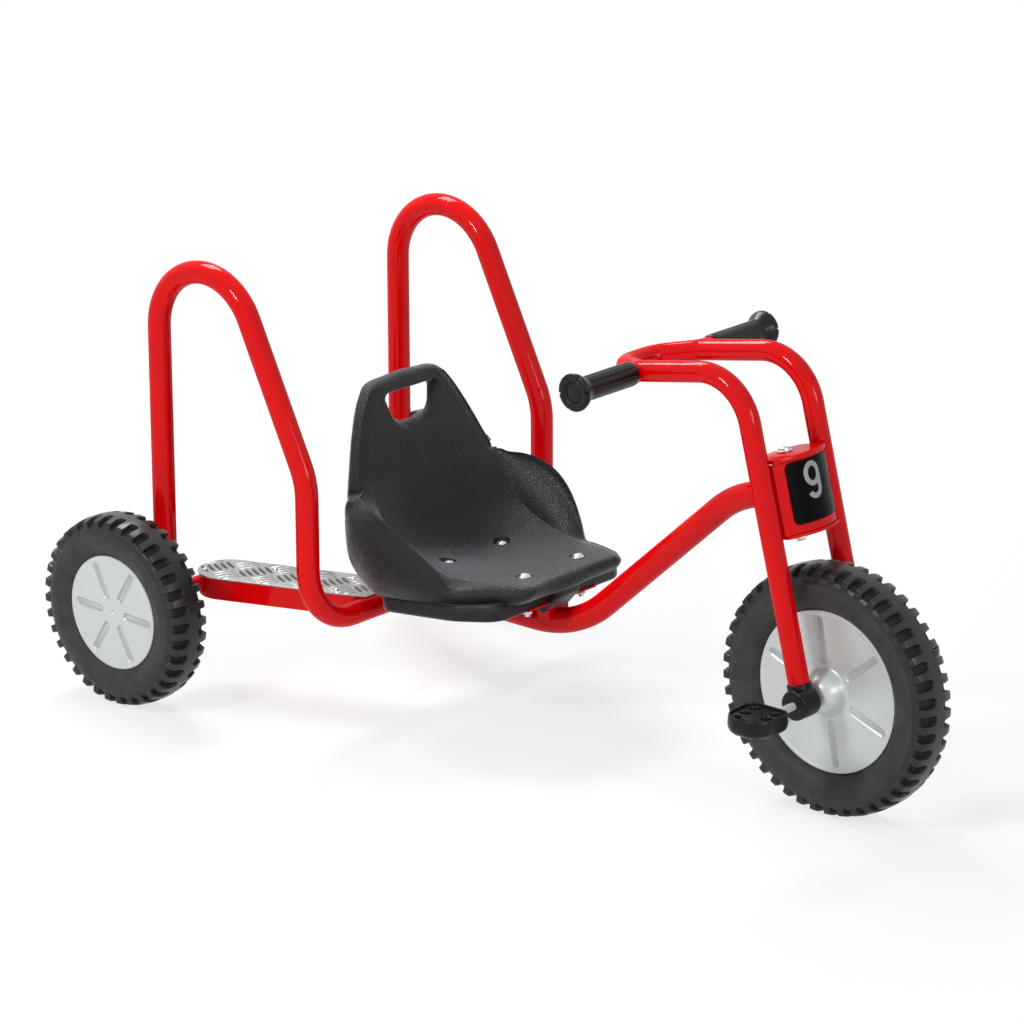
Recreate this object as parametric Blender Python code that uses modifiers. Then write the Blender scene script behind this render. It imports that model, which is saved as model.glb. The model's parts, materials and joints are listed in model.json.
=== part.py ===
# Kids ride-on kart: a three-wheeled chariot. One child sits in a bucket seat and steers,
# a second stands on two footboards behind and holds the tall grab loops.
# Metres, +X forward, +Y left, +Z up. The ground is z = 0 and the origin is under the
# middle of the overall length.

import math

import bmesh
import bpy
import numpy as np
from mathutils import Matrix, Vector

# Clearances
SEAT_GAP = 0.0003  # between pieces that rest on or are welded to each other
RUNNING_GAP = 0.0004  # radial, between a shaft and what turns on it
BOLT_GAP = 0.0005  # radial, between a bolt and its hole

# Wheels
FRONT_TYRE_RADIUS = 0.160
FRONT_RIM_RADIUS = 0.0975
FRONT_LUG_COUNT = 44
REAR_TYRE_RADIUS = 0.128
REAR_RIM_RADIUS = 0.070
REAR_LUG_COUNT = 35
TYRE_WIDTH = 0.061
LUG_DEPTH = 0.008
LUG_SHARE = 0.53  # of the pitch
TREAD_BAND_HALF = 0.0065
RIM_FLANGE_HEIGHT = 0.0065
RIM_FLANGE_TAPER = 0.005  # of the bead seat, inward from the flange
SIDEWALL_WIDEST = 0.028  # below the crown
LUG_FOOT_SPREAD = 1.12
DISC_CENTRE_RADIUS = 0.018
DISC_SHEET = 0.0022
FRONT_DISC_INSET = 0.013  # from the tyre's side
REAR_DISC_INSET = 0.008
DISC_GROOVE_COUNT = 6
DISC_GROOVE_DEPTH = 0.0014
DISC_GROOVE_WIDTH = 0.011
BOSS_RADIUS = 0.030
BOSS_HEIGHT = 0.0265
FRONT_AXLE_RADIUS = 0.005
REAR_SPINDLE_RADIUS = 0.007
HUB_WALL = 0.005

# Chassis
WHEELBASE = 0.936
REAR_TRACK = 0.606  # between the rear tyres' middle planes
LOOP_TUBE_RADIUS = 0.015
LOOP_HALF_SPACING = 0.2268
LOOP_TOP = 0.581
LOOP_TOP_RADIUS = 0.0862
LOOP_SLOPE_DEG = 26.2  # of the front side, off the vertical
LOOP_FRONT_X = 0.260  # ahead of the rear axle
LOOP_ELBOW_RADIUS = 0.100
LOOP_FOOT_RADIUS = 0.080
LOOP_FOOT_STRAIGHT = 0.004
CROSS_TUBE_HEIGHT = 0.139
BACKBONE_RADIUS = 0.0165
BACKBONE_SLOPE_DEG = 42.1
BACKBONE_LOW_BEND = 0.175
BACKBONE_TOP_BEND = 0.140
BACKBONE_KNEE_X = 0.516  # where its level and sloping runs would meet

# Footboards
BOARD_TOE_DEG = 20.7  # each heads inboard toward the front
BOARD_WIDTH = 0.080
BOARD_ROUND_X = 0.049  # of the middle of its round rear end, ahead of the rear axle
BOARD_ROUND_Y = 0.161
BOARD_SHEET = 0.002
BOARD_LAP = 0.002  # of the plate past the middle of the cross tube
CHANNEL_DEPTH = 0.028
CHANNEL_SHEET = 0.0025
CHANNEL_INSET = 0.0015  # from the plate's edge
AXLE_BEAM_RADIUS = 0.010
AXLE_BEAM_INNER_Y = 0.146

# Steering
RAKE_DEG = 14.5
STEER_X = 0.864  # where the backbone meets the steering axis, ahead of the rear axle
STEER_Z = 0.397
HEAD_TUBE_RADIUS = 0.0175
PIVOT_BOLT_RADIUS = 0.006
PIVOT_HEAD_RADIUS = 0.0095
PIVOT_HEAD_HEIGHT = 0.005
HEAD_BOX_HALF_HEIGHT = 0.048
HEAD_PLATE_SHEET = 0.003
HEAD_PLATE_LIP = 0.003
HEAD_PANEL_BULGE = 0.019
HEAD_PANEL_HALF_WIDTH = 0.051
HEAD_PANEL_END = 0.0205  # its outer side at the ends, ahead of the steering axis
HEAD_PANEL_SHEET = 0.0025
HEAD_PANEL_FACETS = 6
NUMBER_PLATE_HALF_WIDTH = 0.0395
NUMBER_PLATE_HEIGHT = 0.077
NUMBER_PLATE_RISE = 0.0045
NUMBER_PLATE_SHEET = 0.001
NUMBER_PLATE_CORNER = 0.007
FORK_TUBE_RADIUS = 0.0135
FORK_HALF_SPACING = 0.0614
FORK_LEG_OFFSET = 0.007  # ahead of the steering axis
FORK_BEND_RADIUS = 0.070
FORK_FOOT_ABOVE_AXLE = 0.012
ARM_SLOPE_DEG = 10.5  # the handlebar arms fall away rearward
ARM_CORNER_HEIGHT = 0.557
HANDLEBAR_X = 0.671
HANDLEBAR_BOW_DEPTH = 0.052
HANDLEBAR_HALF_WIDTH = 0.1815
GRIP_RADIUS = 0.0155
GRIP_LENGTH = 0.109
GRIP_FLANGE_RADIUS = 0.0240
GRIP_FLANGE_THICKNESS = 0.010
GRIP_END_WALL = 0.004
GRIP_NOTCH_COUNT = 6

# Bearing blocks and foot pedals
BLOCK_RADIUS = 0.019
BLOCK_INNER_Y = 0.048
BLOCK_OUTER_Y = 0.084
BLOCK_SPLIT = 0.0006
FORK_SOCKET_GAP = 0.0006
COLLAR_WALL = 0.003
COLLAR_RISE = 0.024  # above the axle, along the leg
PEDAL_INNER_Y = 0.1235
PEDAL_LENGTH = 0.0635
PEDAL_WIDTH = 0.060
PEDAL_THICKNESS = 0.024
PEDAL_RIM = 0.0035
PEDAL_TRAY_DEPTH = 0.003
PEDAL_HOLE_RADIUS = 0.0055
PEDAL_HOLE_PITCH = 0.0186
PEDAL_ROW_SPACING = 0.032
PEDAL_SLOT_WIDTH = 0.015
PEDAL_SLOT_DEPTH = 0.011
PEDAL_NUT_WALL = 0.0017
PEDAL_NUT_LENGTH = 0.005
PEDAL_OUTER_CORNER = 0.022
PEDAL_INNER_CORNER = 0.010

# Seat
SEAT_LIP_BULGE = 0.5  # of the lip's thickness
SEAT_BASE_HALF_WIDTH = 0.121
SEAT_BASE_REAR_HALF_WIDTH = 0.142
SEAT_BASE_REAR_X = 0.290
SEAT_BASE_FRONT_X = 0.487
SEAT_BASE_CORNER = 0.030
SEAT_BASE_MIDDLE_X = 0.425  # where its sides start to close in
SEAT_BASE_WAIST = 0.090
SEAT_PAN_SLOPE_DEG = 6.5
SEAT_BOLT_REAR_X = 0.343
SEAT_BOLT_FRONT_X = 0.474
SEAT_BOLT_HALF_SPACING = 0.052
SEAT_PAN_RISE = 0.062  # at the rear bolts, above the cross tube
SEAT_TABLE_TUBE_HEIGHT = 0.139  # the cross tube's height that the seat's table goes with
SEAT_DEPTH_UNDER_PAN = 0.0415  # from the pan's surface to the base
SEAT_BASE_SINK = 0.026  # of the base's top under the pan's surface
SEAT_SKIRT_DROP = 0.004  # of the base's lower edge past the brackets' bars
SEAT_POCKET_LAP = 0.001
SEAT_KEEL_HALF_WIDTH = 0.0235
SEAT_KEEL = ((0.445, 0.190), (0.445, 0.157), (0.481, 0.157), (0.506, 0.183), (0.506, 0.195))
SEAT_BOLT_RADIUS = 0.0037
SEAT_BORE_DOWN = 0.08  # the bores' cutters reach this far under the pan
SEAT_BORE_UP = 0.03
SEAT_BOLT_HEAD_RADIUS = 0.0065
SEAT_WASHER_RADIUS = 0.010
SEAT_RECESS_DEPTH = 0.004
SEAT_TUBE_CLEARANCE = 0.0015
HANDLE_HOLE_HALF_WIDTH = 0.046
HANDLE_HOLE_TOP = 0.403
HANDLE_HOLE_DROP = 0.040
HANDLE_HOLE_FLARE = 0.008  # of its mouths, past its waist
HANDLE_HOLE_DEPTH = 0.026
BRACKET_SHEET = 0.003
BRACKET_HALF_WIDTH = 0.066
BRACKET_BAR_WIDTH = 0.030
BRACKET_FRONT_SADDLE = (0.460, 0.480)  # its ends, ahead of the rear axle
BRACKET_FRONT_FOOT_RISE = 0.009  # above the cross tube
BRACKET_REAR_SADDLE = (0.330, 0.356)

# Facets
WHEEL_STEPS = 22
SHAFT_STEPS = 16  # of what other pieces are fitted round
TUBE_SIDES = 10
BEND_STEP_DEG = 15.0
EMPTY_SIZE = 0.05
SMALL_STEPS = 12

REAR_AXLE_X = -(WHEELBASE + FRONT_TYRE_RADIUS - REAR_TYRE_RADIUS) / 2
FRONT_AXLE = Vector((REAR_AXLE_X + WHEELBASE, 0, FRONT_TYRE_RADIUS))
RAKE = math.radians(RAKE_DEG)
STEER_UP = Vector((-math.sin(RAKE), 0, math.cos(RAKE)))
STEER_FORWARD = Vector((math.cos(RAKE), 0, math.sin(RAKE)))
STEER_POINT = Vector((REAR_AXLE_X + STEER_X, 0, STEER_Z))
SIDES = (("left", 1), ("right", -1))


# Scene, materials and objects

def clear_scene():
    for obj in list(bpy.data.objects):
        bpy.data.objects.remove(obj, do_unlink=True)
    for name in ("Kids ride-on kart", "Cutters"):
        old = bpy.data.collections.get(name)
        if old:
            bpy.data.collections.remove(old)


def new_collection(name, hidden=False):
    collection = bpy.data.collections.new(name)
    bpy.context.scene.collection.children.link(collection)
    collection.hide_render = hidden
    return collection


def material(name, colour, roughness, metallic=0.0):
    made = bpy.data.materials.get(name) or bpy.data.materials.new(name)
    made.use_nodes = True
    shader = made.node_tree.nodes["Principled BSDF"]
    shader.inputs["Base Color"].default_value = (*colour, 1)
    shader.inputs["Roughness"].default_value = roughness
    shader.inputs["Metallic"].default_value = metallic
    made.diffuse_color = (*colour, 1)
    return made


def red_paint():
    return material("Red powder coat", (0.68, 0.008, 0.012), 0.28)


def black_plastic():
    return material("Black moulded plastic", (0.022, 0.023, 0.025), 0.55)


def tyre_rubber():
    return material("Tyre rubber", (0.045, 0.042, 0.038), 0.75)


def disc_paint():
    return material("Silver painted steel", (0.56, 0.59, 0.58), 0.38, 0.5)


def zinc():
    return material("Zinc plated steel", (0.72, 0.73, 0.74), 0.3, 1.0)


def aluminium():
    return material("Tread plate aluminium", (0.80, 0.79, 0.76), 0.32, 1.0)


def add_mesh(name, mesh, finish, smooth_deg=35.0):
    """An object of the part, with its material and its smooth shading."""
    obj = bpy.data.objects.new(name, mesh)
    PARTS.objects.link(obj)
    mesh.materials.append(finish)
    mesh.shade_smooth()
    mesh.set_sharp_from_angle(angle=math.radians(smooth_deg))
    return obj


def add_cutter(name, mesh):
    """A shape that cuts others or is joined to them, and isn't a piece itself."""
    obj = bpy.data.objects.new(name, mesh)
    CUTTERS.objects.link(obj)
    obj.hide_render = True
    obj.display_type = "WIRE"
    return obj


def boolean(obj, other, operation="DIFFERENCE"):
    modifier = obj.modifiers.new(f"{operation} {other.name}", "BOOLEAN")
    modifier.operation = operation
    modifier.solver = "EXACT"
    modifier.object = other
    return modifier


def mesh_from_bmesh(name, shape):
    bmesh.ops.recalc_face_normals(shape, faces=shape.faces)
    if shape.calc_volume(signed=True) < 0:
        bmesh.ops.reverse_faces(shape, faces=shape.faces)
    mesh = bpy.data.meshes.new(name)
    shape.to_mesh(mesh)
    shape.free()
    return mesh


# Shapes

def frame_matrix(origin, x_axis, y_axis, z_axis):
    rotation = Matrix((x_axis, y_axis, z_axis)).transposed()
    return Matrix.Translation(origin) @ rotation.to_4x4()


STEER_FRAME = frame_matrix(STEER_POINT, STEER_FORWARD, Vector((0, 1, 0)), STEER_UP)


def box_mesh(name, low, high, matrix=None):
    shape = bmesh.new()
    bmesh.ops.create_cube(shape, size=1.0)
    low, high = Vector(low), Vector(high)
    size = high - low
    bmesh.ops.scale(shape, vec=size, verts=shape.verts)
    bmesh.ops.translate(shape, vec=(low + high) / 2, verts=shape.verts)
    if matrix is not None:
        bmesh.ops.transform(shape, matrix=matrix, verts=shape.verts)
    return mesh_from_bmesh(name, shape)


def cylinder_mesh(name, start, end, radius, steps=SMALL_STEPS, end_radius=None):
    start, end = Vector(start), Vector(end)
    shape = bmesh.new()
    bmesh.ops.create_cone(
        shape,
        cap_ends=True,
        segments=steps,
        radius1=radius,
        radius2=radius if end_radius is None else end_radius,
        depth=(end - start).length,
    )
    turn = (end - start).to_track_quat("Z", "Y").to_matrix().to_4x4()
    matrix = Matrix.Translation((start + end) / 2) @ turn
    bmesh.ops.transform(shape, matrix=matrix, verts=shape.verts)
    return mesh_from_bmesh(name, shape)


def turned(name, profile, finish, centre, steps=WHEEL_STEPS, closed=True, flip=False):
    """A profile of (radius, distance along +Y) turned about the Y axis through centre."""
    shape = bmesh.new()
    points = [shape.verts.new((radius, 0, along)) for radius, along in profile]
    for a, b in zip(points, points[1:]):
        shape.edges.new((a, b))
    if closed:
        shape.edges.new((points[-1], points[0]))
    mesh = bpy.data.meshes.new(name)
    shape.to_mesh(mesh)
    shape.free()
    obj = bpy.data.objects.new(name, mesh)
    PARTS.objects.link(obj)
    mesh.materials.append(finish)
    screw = obj.modifiers.new("Turn", "SCREW")
    screw.axis = "Z"
    screw.steps = steps
    screw.render_steps = steps
    screw.use_merge_vertices = True
    screw.merge_threshold = 0.00001
    screw.use_smooth_shade = True
    screw.use_normal_flip = flip
    obj.rotation_euler = (-math.pi / 2, 0, 0)
    obj.location = centre
    return obj


def bent_path(corners, radii, step_deg=BEND_STEP_DEG):
    """Points of a tube's middle line: straight runs between corners, rounded by radii."""
    corners = [Vector(corner) for corner in corners]
    points = [corners[0]]
    for before, corner, after, radius in zip(corners, corners[1:], corners[2:], radii):
        back = (before - corner).normalized()
        ahead = (after - corner).normalized()
        turn = math.pi - back.angle(ahead)
        tangent = radius * math.tan(turn / 2)
        start = corner + back * tangent
        to_centre = (back + ahead).normalized()
        centre = corner + to_centre * (radius / math.cos(turn / 2))
        axis = (-back).cross(ahead).normalized()
        count = max(2, round(math.degrees(turn) / step_deg))
        for i in range(count + 1):
            turned_by = Matrix.Rotation(turn * i / count, 3, axis)
            points.append(centre + turned_by @ (start - centre))
    points.append(corners[-1])
    return points


def tube_mesh(name, points, radius, sides=TUBE_SIDES):
    """A solid round bar along the points, made by a curve's bevel."""
    curve = bpy.data.curves.new(name, "CURVE")
    curve.dimensions = "3D"
    curve.bevel_depth = radius
    curve.bevel_resolution = sides // 2 - 2
    curve.use_fill_caps = True
    spline = curve.splines.new("POLY")
    spline.points.add(len(points) - 1)
    for slot, point in zip(spline.points, points):
        slot.co = (*point, 1)
    guide = bpy.data.objects.new(name, curve)
    bpy.context.scene.collection.objects.link(guide)
    bpy.context.view_layer.update()
    evaluated = guide.evaluated_get(bpy.context.evaluated_depsgraph_get())
    mesh = bpy.data.meshes.new_from_object(evaluated)
    bpy.data.objects.remove(guide, do_unlink=True)
    shape = bmesh.new()
    shape.from_mesh(mesh)
    bmesh.ops.remove_doubles(shape, verts=shape.verts, dist=0.00001)
    bmesh.ops.recalc_face_normals(shape, faces=shape.faces)
    shape.to_mesh(mesh)
    shape.free()
    mesh.name = name
    mesh.materials.clear()
    return mesh


def rounded_outline(corners, radii, steps=4):
    """A flat outline through (x, y) corners, each rounded by its radius."""
    outline = []
    count = len(corners)
    for i, (corner, radius) in enumerate(zip(corners, radii)):
        here = Vector(corner)
        back = (Vector(corners[i - 1]) - here).normalized()
        ahead = (Vector(corners[(i + 1) % count]) - here).normalized()
        if radius == 0:
            outline.append(here)
            continue
        half = back.angle(ahead) / 2
        centre = here + (back + ahead).normalized() * (radius / math.sin(half))
        start = here + back * (radius / math.tan(half)) - centre
        end = here + ahead * (radius / math.tan(half)) - centre
        sweep = start.angle_signed(end)
        for k in range(steps + 1):
            angle = -sweep * k / steps
            outline.append(centre + Matrix.Rotation(angle, 2) @ start)
    return outline


def slab_mesh(name, outline, low, high, matrix=None, bevel=0.0):
    """A flat outline made into a slab between two heights."""
    shape = bmesh.new()
    verts = [shape.verts.new((x, y, low)) for x, y in outline]
    face = shape.faces.new(verts)
    raised = bmesh.ops.extrude_face_region(shape, geom=[face])
    lifted = [item for item in raised["geom"] if isinstance(item, bmesh.types.BMVert)]
    bmesh.ops.translate(shape, vec=(0, 0, high - low), verts=lifted)
    if bevel:
        flat = [f for f in shape.faces if abs(f.normal.z) > 0.9 or len(f.verts) > 4]
        edges = list({edge for f in flat for edge in f.edges})
        bmesh.ops.bevel(shape, geom=edges, offset=bevel, segments=1, affect="EDGES")
    if matrix is not None:
        bmesh.ops.transform(shape, matrix=matrix, verts=shape.verts)
    return mesh_from_bmesh(name, shape)


# Wheels

def tyre_lug(shape, side, middle, pitch, radius, rim_radius, face):
    """One shoulder lug's points and those of the groove after it, by name."""
    half = TYRE_WIDTH / 2
    lug_half = LUG_SHARE * pitch / 2
    foot_half = lug_half * LUG_FOOT_SPREAD
    groove = middle + pitch / 2

    def vertex(angle, across, out):
        return shape.verts.new((out * math.cos(angle), side * across, out * math.sin(angle)))

    top = (middle - lug_half, middle + lug_half)
    foot = (middle - foot_half, middle + foot_half)
    return {
        "band": [vertex(a, TREAD_BAND_HALF * 1.6, radius - 0.0006) for a in top],
        "tip": [vertex(a, half * 0.82, radius - LUG_DEPTH * 0.7) for a in top],
        "foot": [vertex(a, half * 0.91, radius - LUG_DEPTH * 1.75) for a in foot],
        "notch": vertex(groove, TREAD_BAND_HALF, radius),
        "floor": vertex(groove, TREAD_BAND_HALF * 1.4, radius - LUG_DEPTH),
        "wall": vertex(middle, half, radius - SIDEWALL_WIDEST),
        "side": vertex(middle, half * 0.93, rim_radius + RIM_FLANGE_HEIGHT + 0.012),
        "lip": vertex(middle, face - 0.0018, rim_radius + RIM_FLANGE_HEIGHT),
        "bead": vertex(middle, face - RIM_FLANGE_TAPER - 0.0018, rim_radius),
    }


def lug_faces(shape, lug, after, order):
    """Faces round one lug and down the sidewall to the bead, turned over on the right side."""
    faces = [
        [lug["band"][0], lug["tip"][0], lug["tip"][1], lug["band"][1]],
        [lug["tip"][0], lug["foot"][0], lug["foot"][1], lug["tip"][1]],
        [lug["band"][1], lug["tip"][1], lug["floor"], lug["notch"]],
        [lug["tip"][1], lug["foot"][1], lug["floor"]],
        [after["band"][0], lug["notch"], lug["floor"], after["tip"][0]],
        [after["tip"][0], lug["floor"], after["foot"][0]],
        [lug["foot"][1], after["foot"][0], lug["floor"]],
        [lug["foot"][1], lug["foot"][0], lug["wall"], after["wall"], after["foot"][0]],
        [lug["wall"], lug["side"], after["side"], after["wall"]],
        [lug["side"], lug["lip"], after["lip"], after["side"]],
        [lug["lip"], lug["bead"], after["bead"], after["lip"]],
    ]
    for face in faces:
        shape.faces.new(face[::order])


def tyre_mesh(name, radius, rim_radius, lug_count, face):
    """A solid tyre about the Y axis, its two rows of shoulder lugs staggered by half a pitch."""
    pitch = 2 * math.pi / lug_count
    bottom = -math.pi / 2
    shape = bmesh.new()
    rows = {}
    for side, shift in ((1, 0.0), (-1, 0.5)):
        rows[side] = [
            tyre_lug(shape, side, bottom + pitch * (i + shift), pitch, radius, rim_radius, face)
            for i in range(lug_count)
        ]
        for i, lug in enumerate(rows[side]):
            lug_faces(shape, lug, rows[side][(i + 1) % lug_count], side)
    for i in range(lug_count):
        left, right = rows[1][i], rows[-1][i]
        after = rows[1][(i + 1) % lug_count]
        before = rows[-1][i - 1]
        # The tread's middle band zigzags between the two rows.
        left_band, right_band = left["band"], right["band"]
        shape.faces.new(
            [left_band[0], left_band[1], right_band[0], before["notch"], before["band"][1]]
        )
        shape.faces.new(
            [right_band[1], right_band[0], left_band[1], left["notch"], after["band"][0]]
        )
        # The inner face joins the two beads, which are half a pitch apart.
        shape.faces.new([left["bead"], right["bead"], after["bead"]])
        shape.faces.new([right["bead"], rows[-1][(i + 1) % lug_count]["bead"], after["bead"]])
    return mesh_from_bmesh(name, shape)


def disc_profile(face, rim_radius, bore, boss):
    """Half of a pressed wheel: its face, its rolled flange and the barrel the tyre sits on."""
    flange = rim_radius + RIM_FLANGE_HEIGHT
    sheet = DISC_SHEET
    flange_back = [
        (flange - 0.010, face),
        (flange - 0.003, face + 0.0012),
        (flange, face - 0.0012),
        (rim_radius, face - RIM_FLANGE_TAPER - 0.0012),
        (rim_radius, SEAT_GAP / 2),
        (rim_radius - sheet, SEAT_GAP / 2),
        (flange - 0.010 - sheet, face - sheet),
    ]
    if not boss:
        return [(bore, face - sheet), (bore, face)] + flange_back
    top = face + boss
    return [
        (BOSS_RADIUS + 0.003 - sheet, face - sheet),
        (BOSS_RADIUS * 0.78 - sheet, face + boss * 0.55 - sheet),
        (bore, top - sheet),
        (bore, top),
        (BOSS_RADIUS * 0.45, top - 0.002),
        (BOSS_RADIUS * 0.78, face + boss * 0.55),
        (BOSS_RADIUS + 0.003, face),
    ] + flange_back


def groove_cutter(name, centre, side, face, reach, start):
    """Six capsule-shaped grooves pressed into a disc's face, as one cutter."""
    shape = bmesh.new()
    half = DISC_GROOVE_WIDTH / 2
    levels = ((face - DISC_GROOVE_DEPTH, 0.6), (face + 0.004, 1.25))
    for k in range(DISC_GROOVE_COUNT):
        turn = Matrix.Rotation(2 * math.pi * k / DISC_GROOVE_COUNT, 3, "Y")
        rings = []
        for level, share in levels:
            ring = []
            for end, from_deg in ((reach - half, -60), (start + half, 120)):
                for step in range(3):
                    angle = math.radians(from_deg + 60 * step)
                    along = end + half * share * math.cos(angle)
                    across = half * share * math.sin(angle)
                    ring.append(shape.verts.new(turn @ Vector((across, side * level, along))))
            rings.append(ring)
        count = len(rings[0])
        shape.faces.new(rings[0])
        shape.faces.new(rings[1][::-1])
        for i in range(count):
            j = (i + 1) % count
            shape.faces.new([rings[0][i], rings[1][i], rings[1][j], rings[0][j]])
    bmesh.ops.translate(shape, vec=centre, verts=shape.verts)
    return add_cutter(name, mesh_from_bmesh(name, shape))


def wheel_disc(name, centre, side, face, rim_radius, bore, boss=0.0):
    profile = [(r, side * y) for r, y in disc_profile(face, rim_radius, bore, boss)]
    disc = turned(name, profile, disc_paint(), centre, flip=side < 0)
    start = (BOSS_RADIUS if boss else DISC_CENTRE_RADIUS) + 0.007
    reach = rim_radius + RIM_FLANGE_HEIGHT - 0.014
    boolean(disc, groove_cutter(f"{name}.grooves", centre, side, face, reach, start))
    return disc


def front_wheel():
    face = TYRE_WIDTH / 2 - FRONT_DISC_INSET
    tyre = add_mesh(
        "front_tyre",
        tyre_mesh(
            "front_tyre", FRONT_TYRE_RADIUS, FRONT_RIM_RADIUS + SEAT_GAP, FRONT_LUG_COUNT, face
        ),
        tyre_rubber(),
    )
    tyre.location = FRONT_AXLE
    bore = FRONT_AXLE_RADIUS + SEAT_GAP
    for label, side in SIDES:
        wheel_disc(
            f"front_disc_{label}", FRONT_AXLE, side, face, FRONT_RIM_RADIUS, bore, BOSS_HEIGHT
        )
    inside = face - DISC_SHEET - SEAT_GAP
    hub = bore + HUB_WALL
    turned(
        "front_hub",
        [(hub, inside), (hub, -inside), (bore, -inside), (bore, inside)],
        zinc(),
        FRONT_AXLE,
        SMALL_STEPS,
    )
    reach = PEDAL_INNER_Y + PEDAL_LENGTH - PEDAL_SLOT_DEPTH + PEDAL_NUT_LENGTH + 0.003
    tip = 0.001
    radius = FRONT_AXLE_RADIUS
    turned(
        "front_axle",
        [
            (0, reach),
            (radius - tip, reach),
            (radius, reach - tip),
            (radius, tip - reach),
            (radius - tip, -reach),
            (0, -reach),
        ],
        zinc(),
        FRONT_AXLE,
        SMALL_STEPS,
        closed=False,
    )


def rear_wheels():
    face = TYRE_WIDTH / 2 - REAR_DISC_INSET
    rim = REAR_RIM_RADIUS + SEAT_GAP
    tyre = tyre_mesh("rear_tyre", REAR_TYRE_RADIUS, rim, REAR_LUG_COUNT, face)
    for label, side in SIDES:
        centre = Vector((REAR_AXLE_X, side * REAR_TRACK / 2, REAR_TYRE_RADIUS))
        add_mesh(f"rear_tyre_{label}", tyre.copy(), tyre_rubber()).location = centre
        bore = REAR_SPINDLE_RADIUS + RUNNING_GAP
        hub = bore + HUB_WALL
        wheel_disc(f"rear_disc_inner_{label}", centre, -side, face, REAR_RIM_RADIUS, hub + SEAT_GAP)
        wheel_disc(f"rear_disc_outer_{label}", centre, side, face, REAR_RIM_RADIUS, 0.0)
        outer_end = side * (face - DISC_SHEET - SEAT_GAP)
        inner_end = -side * (face + 0.004)
        turned(
            f"rear_hub_{label}",
            [(hub, outer_end), (hub, inner_end), (bore, inner_end), (bore, outer_end)],
            black_plastic(),
            centre,
            SMALL_STEPS,
            flip=side < 0,
        )


# Chassis

def grab_loops():
    """Each loop is one bent tube: rear leg, round top, sloping front and a foot that turns inboard."""
    slope = math.radians(LOOP_SLOPE_DEG)
    axle_x = REAR_AXLE_X
    front_x = REAR_AXLE_X + LOOP_FRONT_X
    radius = LOOP_TOP_RADIUS
    top_z = LOOP_TOP
    # The round top touches the rear leg and the sloping side, which meet above it.
    centre = Vector((axle_x + radius, 0, top_z - radius))
    touch = centre + radius * Vector((math.cos(slope), 0, math.sin(slope)))
    down = Vector((math.sin(slope), 0, -math.cos(slope)))
    elbow = touch + down * ((front_x - touch.x) / down.x)
    apex_front = touch - down * ((top_z - touch.z) / math.cos(slope))
    foot_end = LOOP_HALF_SPACING - LOOP_FOOT_RADIUS - LOOP_FOOT_STRAIGHT
    radii = (radius, radius, LOOP_ELBOW_RADIUS, LOOP_FOOT_RADIUS)
    for label, side in SIDES:
        y = side * LOOP_HALF_SPACING
        corners = [
            (axle_x, y, REAR_TYRE_RADIUS),
            (axle_x, y, top_z),
            (apex_front.x, y, top_z),
            (elbow.x, y, elbow.z),
            (front_x, y, CROSS_TUBE_HEIGHT),
            (front_x, side * foot_end, CROSS_TUBE_HEIGHT),
        ]
        name = f"grab_loop_{label}"
        path = bent_path(corners, radii)
        loop = add_mesh(name, tube_mesh(name, path, LOOP_TUBE_RADIUS), red_paint())
        saddle = cylinder_mesh(
            f"{name}.saddle",
            (axle_x, y - 2 * LOOP_TUBE_RADIUS, REAR_TYRE_RADIUS),
            (axle_x, y + 2 * LOOP_TUBE_RADIUS, REAR_TYRE_RADIUS),
            AXLE_BEAM_RADIUS + SEAT_GAP,
            SHAFT_STEPS,
        )
        boolean(loop, add_cutter(f"{name}.saddle", saddle))


def cross_tube():
    half = LOOP_HALF_SPACING - LOOP_FOOT_RADIUS - LOOP_FOOT_STRAIGHT - SEAT_GAP
    x = REAR_AXLE_X + LOOP_FRONT_X
    z = CROSS_TUBE_HEIGHT
    mesh = cylinder_mesh("cross_tube", (x, -half, z), (x, half, z), LOOP_TUBE_RADIUS, TUBE_SIDES)
    add_mesh("cross_tube", mesh, red_paint())


def backbone_points():
    slope = math.radians(BACKBONE_SLOPE_DEG)
    start = Vector((REAR_AXLE_X + LOOP_FRONT_X, 0, CROSS_TUBE_HEIGHT))
    knee = Vector((REAR_AXLE_X + BACKBONE_KNEE_X, 0, CROSS_TUBE_HEIGHT))
    up = Vector((math.cos(slope), 0, math.sin(slope)))
    # The top run leaves the steering axis at a right angle and meets the slope at the neck.
    offset = STEER_POINT - knee
    reach = offset.dot(STEER_UP) / up.dot(STEER_UP)
    neck = knee + up * reach
    return [start, knee, neck, STEER_POINT]


def backbone():
    corners = backbone_points()
    path = bent_path(corners, (BACKBONE_LOW_BEND, BACKBONE_TOP_BEND))
    mesh = tube_mesh("backbone_tube", path, BACKBONE_RADIUS)
    tube = add_mesh("backbone_tube", mesh, red_paint())
    x = REAR_AXLE_X + LOOP_FRONT_X
    z = CROSS_TUBE_HEIGHT
    mouth = cylinder_mesh(
        "backbone.mouth", (x, -0.03, z), (x, 0.03, z), LOOP_TUBE_RADIUS + SEAT_GAP, 16
    )
    boolean(tube, add_cutter("backbone.mouth", mouth))
    head = cylinder_mesh(
        "backbone.head",
        STEER_POINT - STEER_UP * 0.03,
        STEER_POINT + STEER_UP * 0.03,
        HEAD_TUBE_RADIUS + SEAT_GAP,
        16,
    )
    boolean(tube, add_cutter("backbone.head", head))


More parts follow.
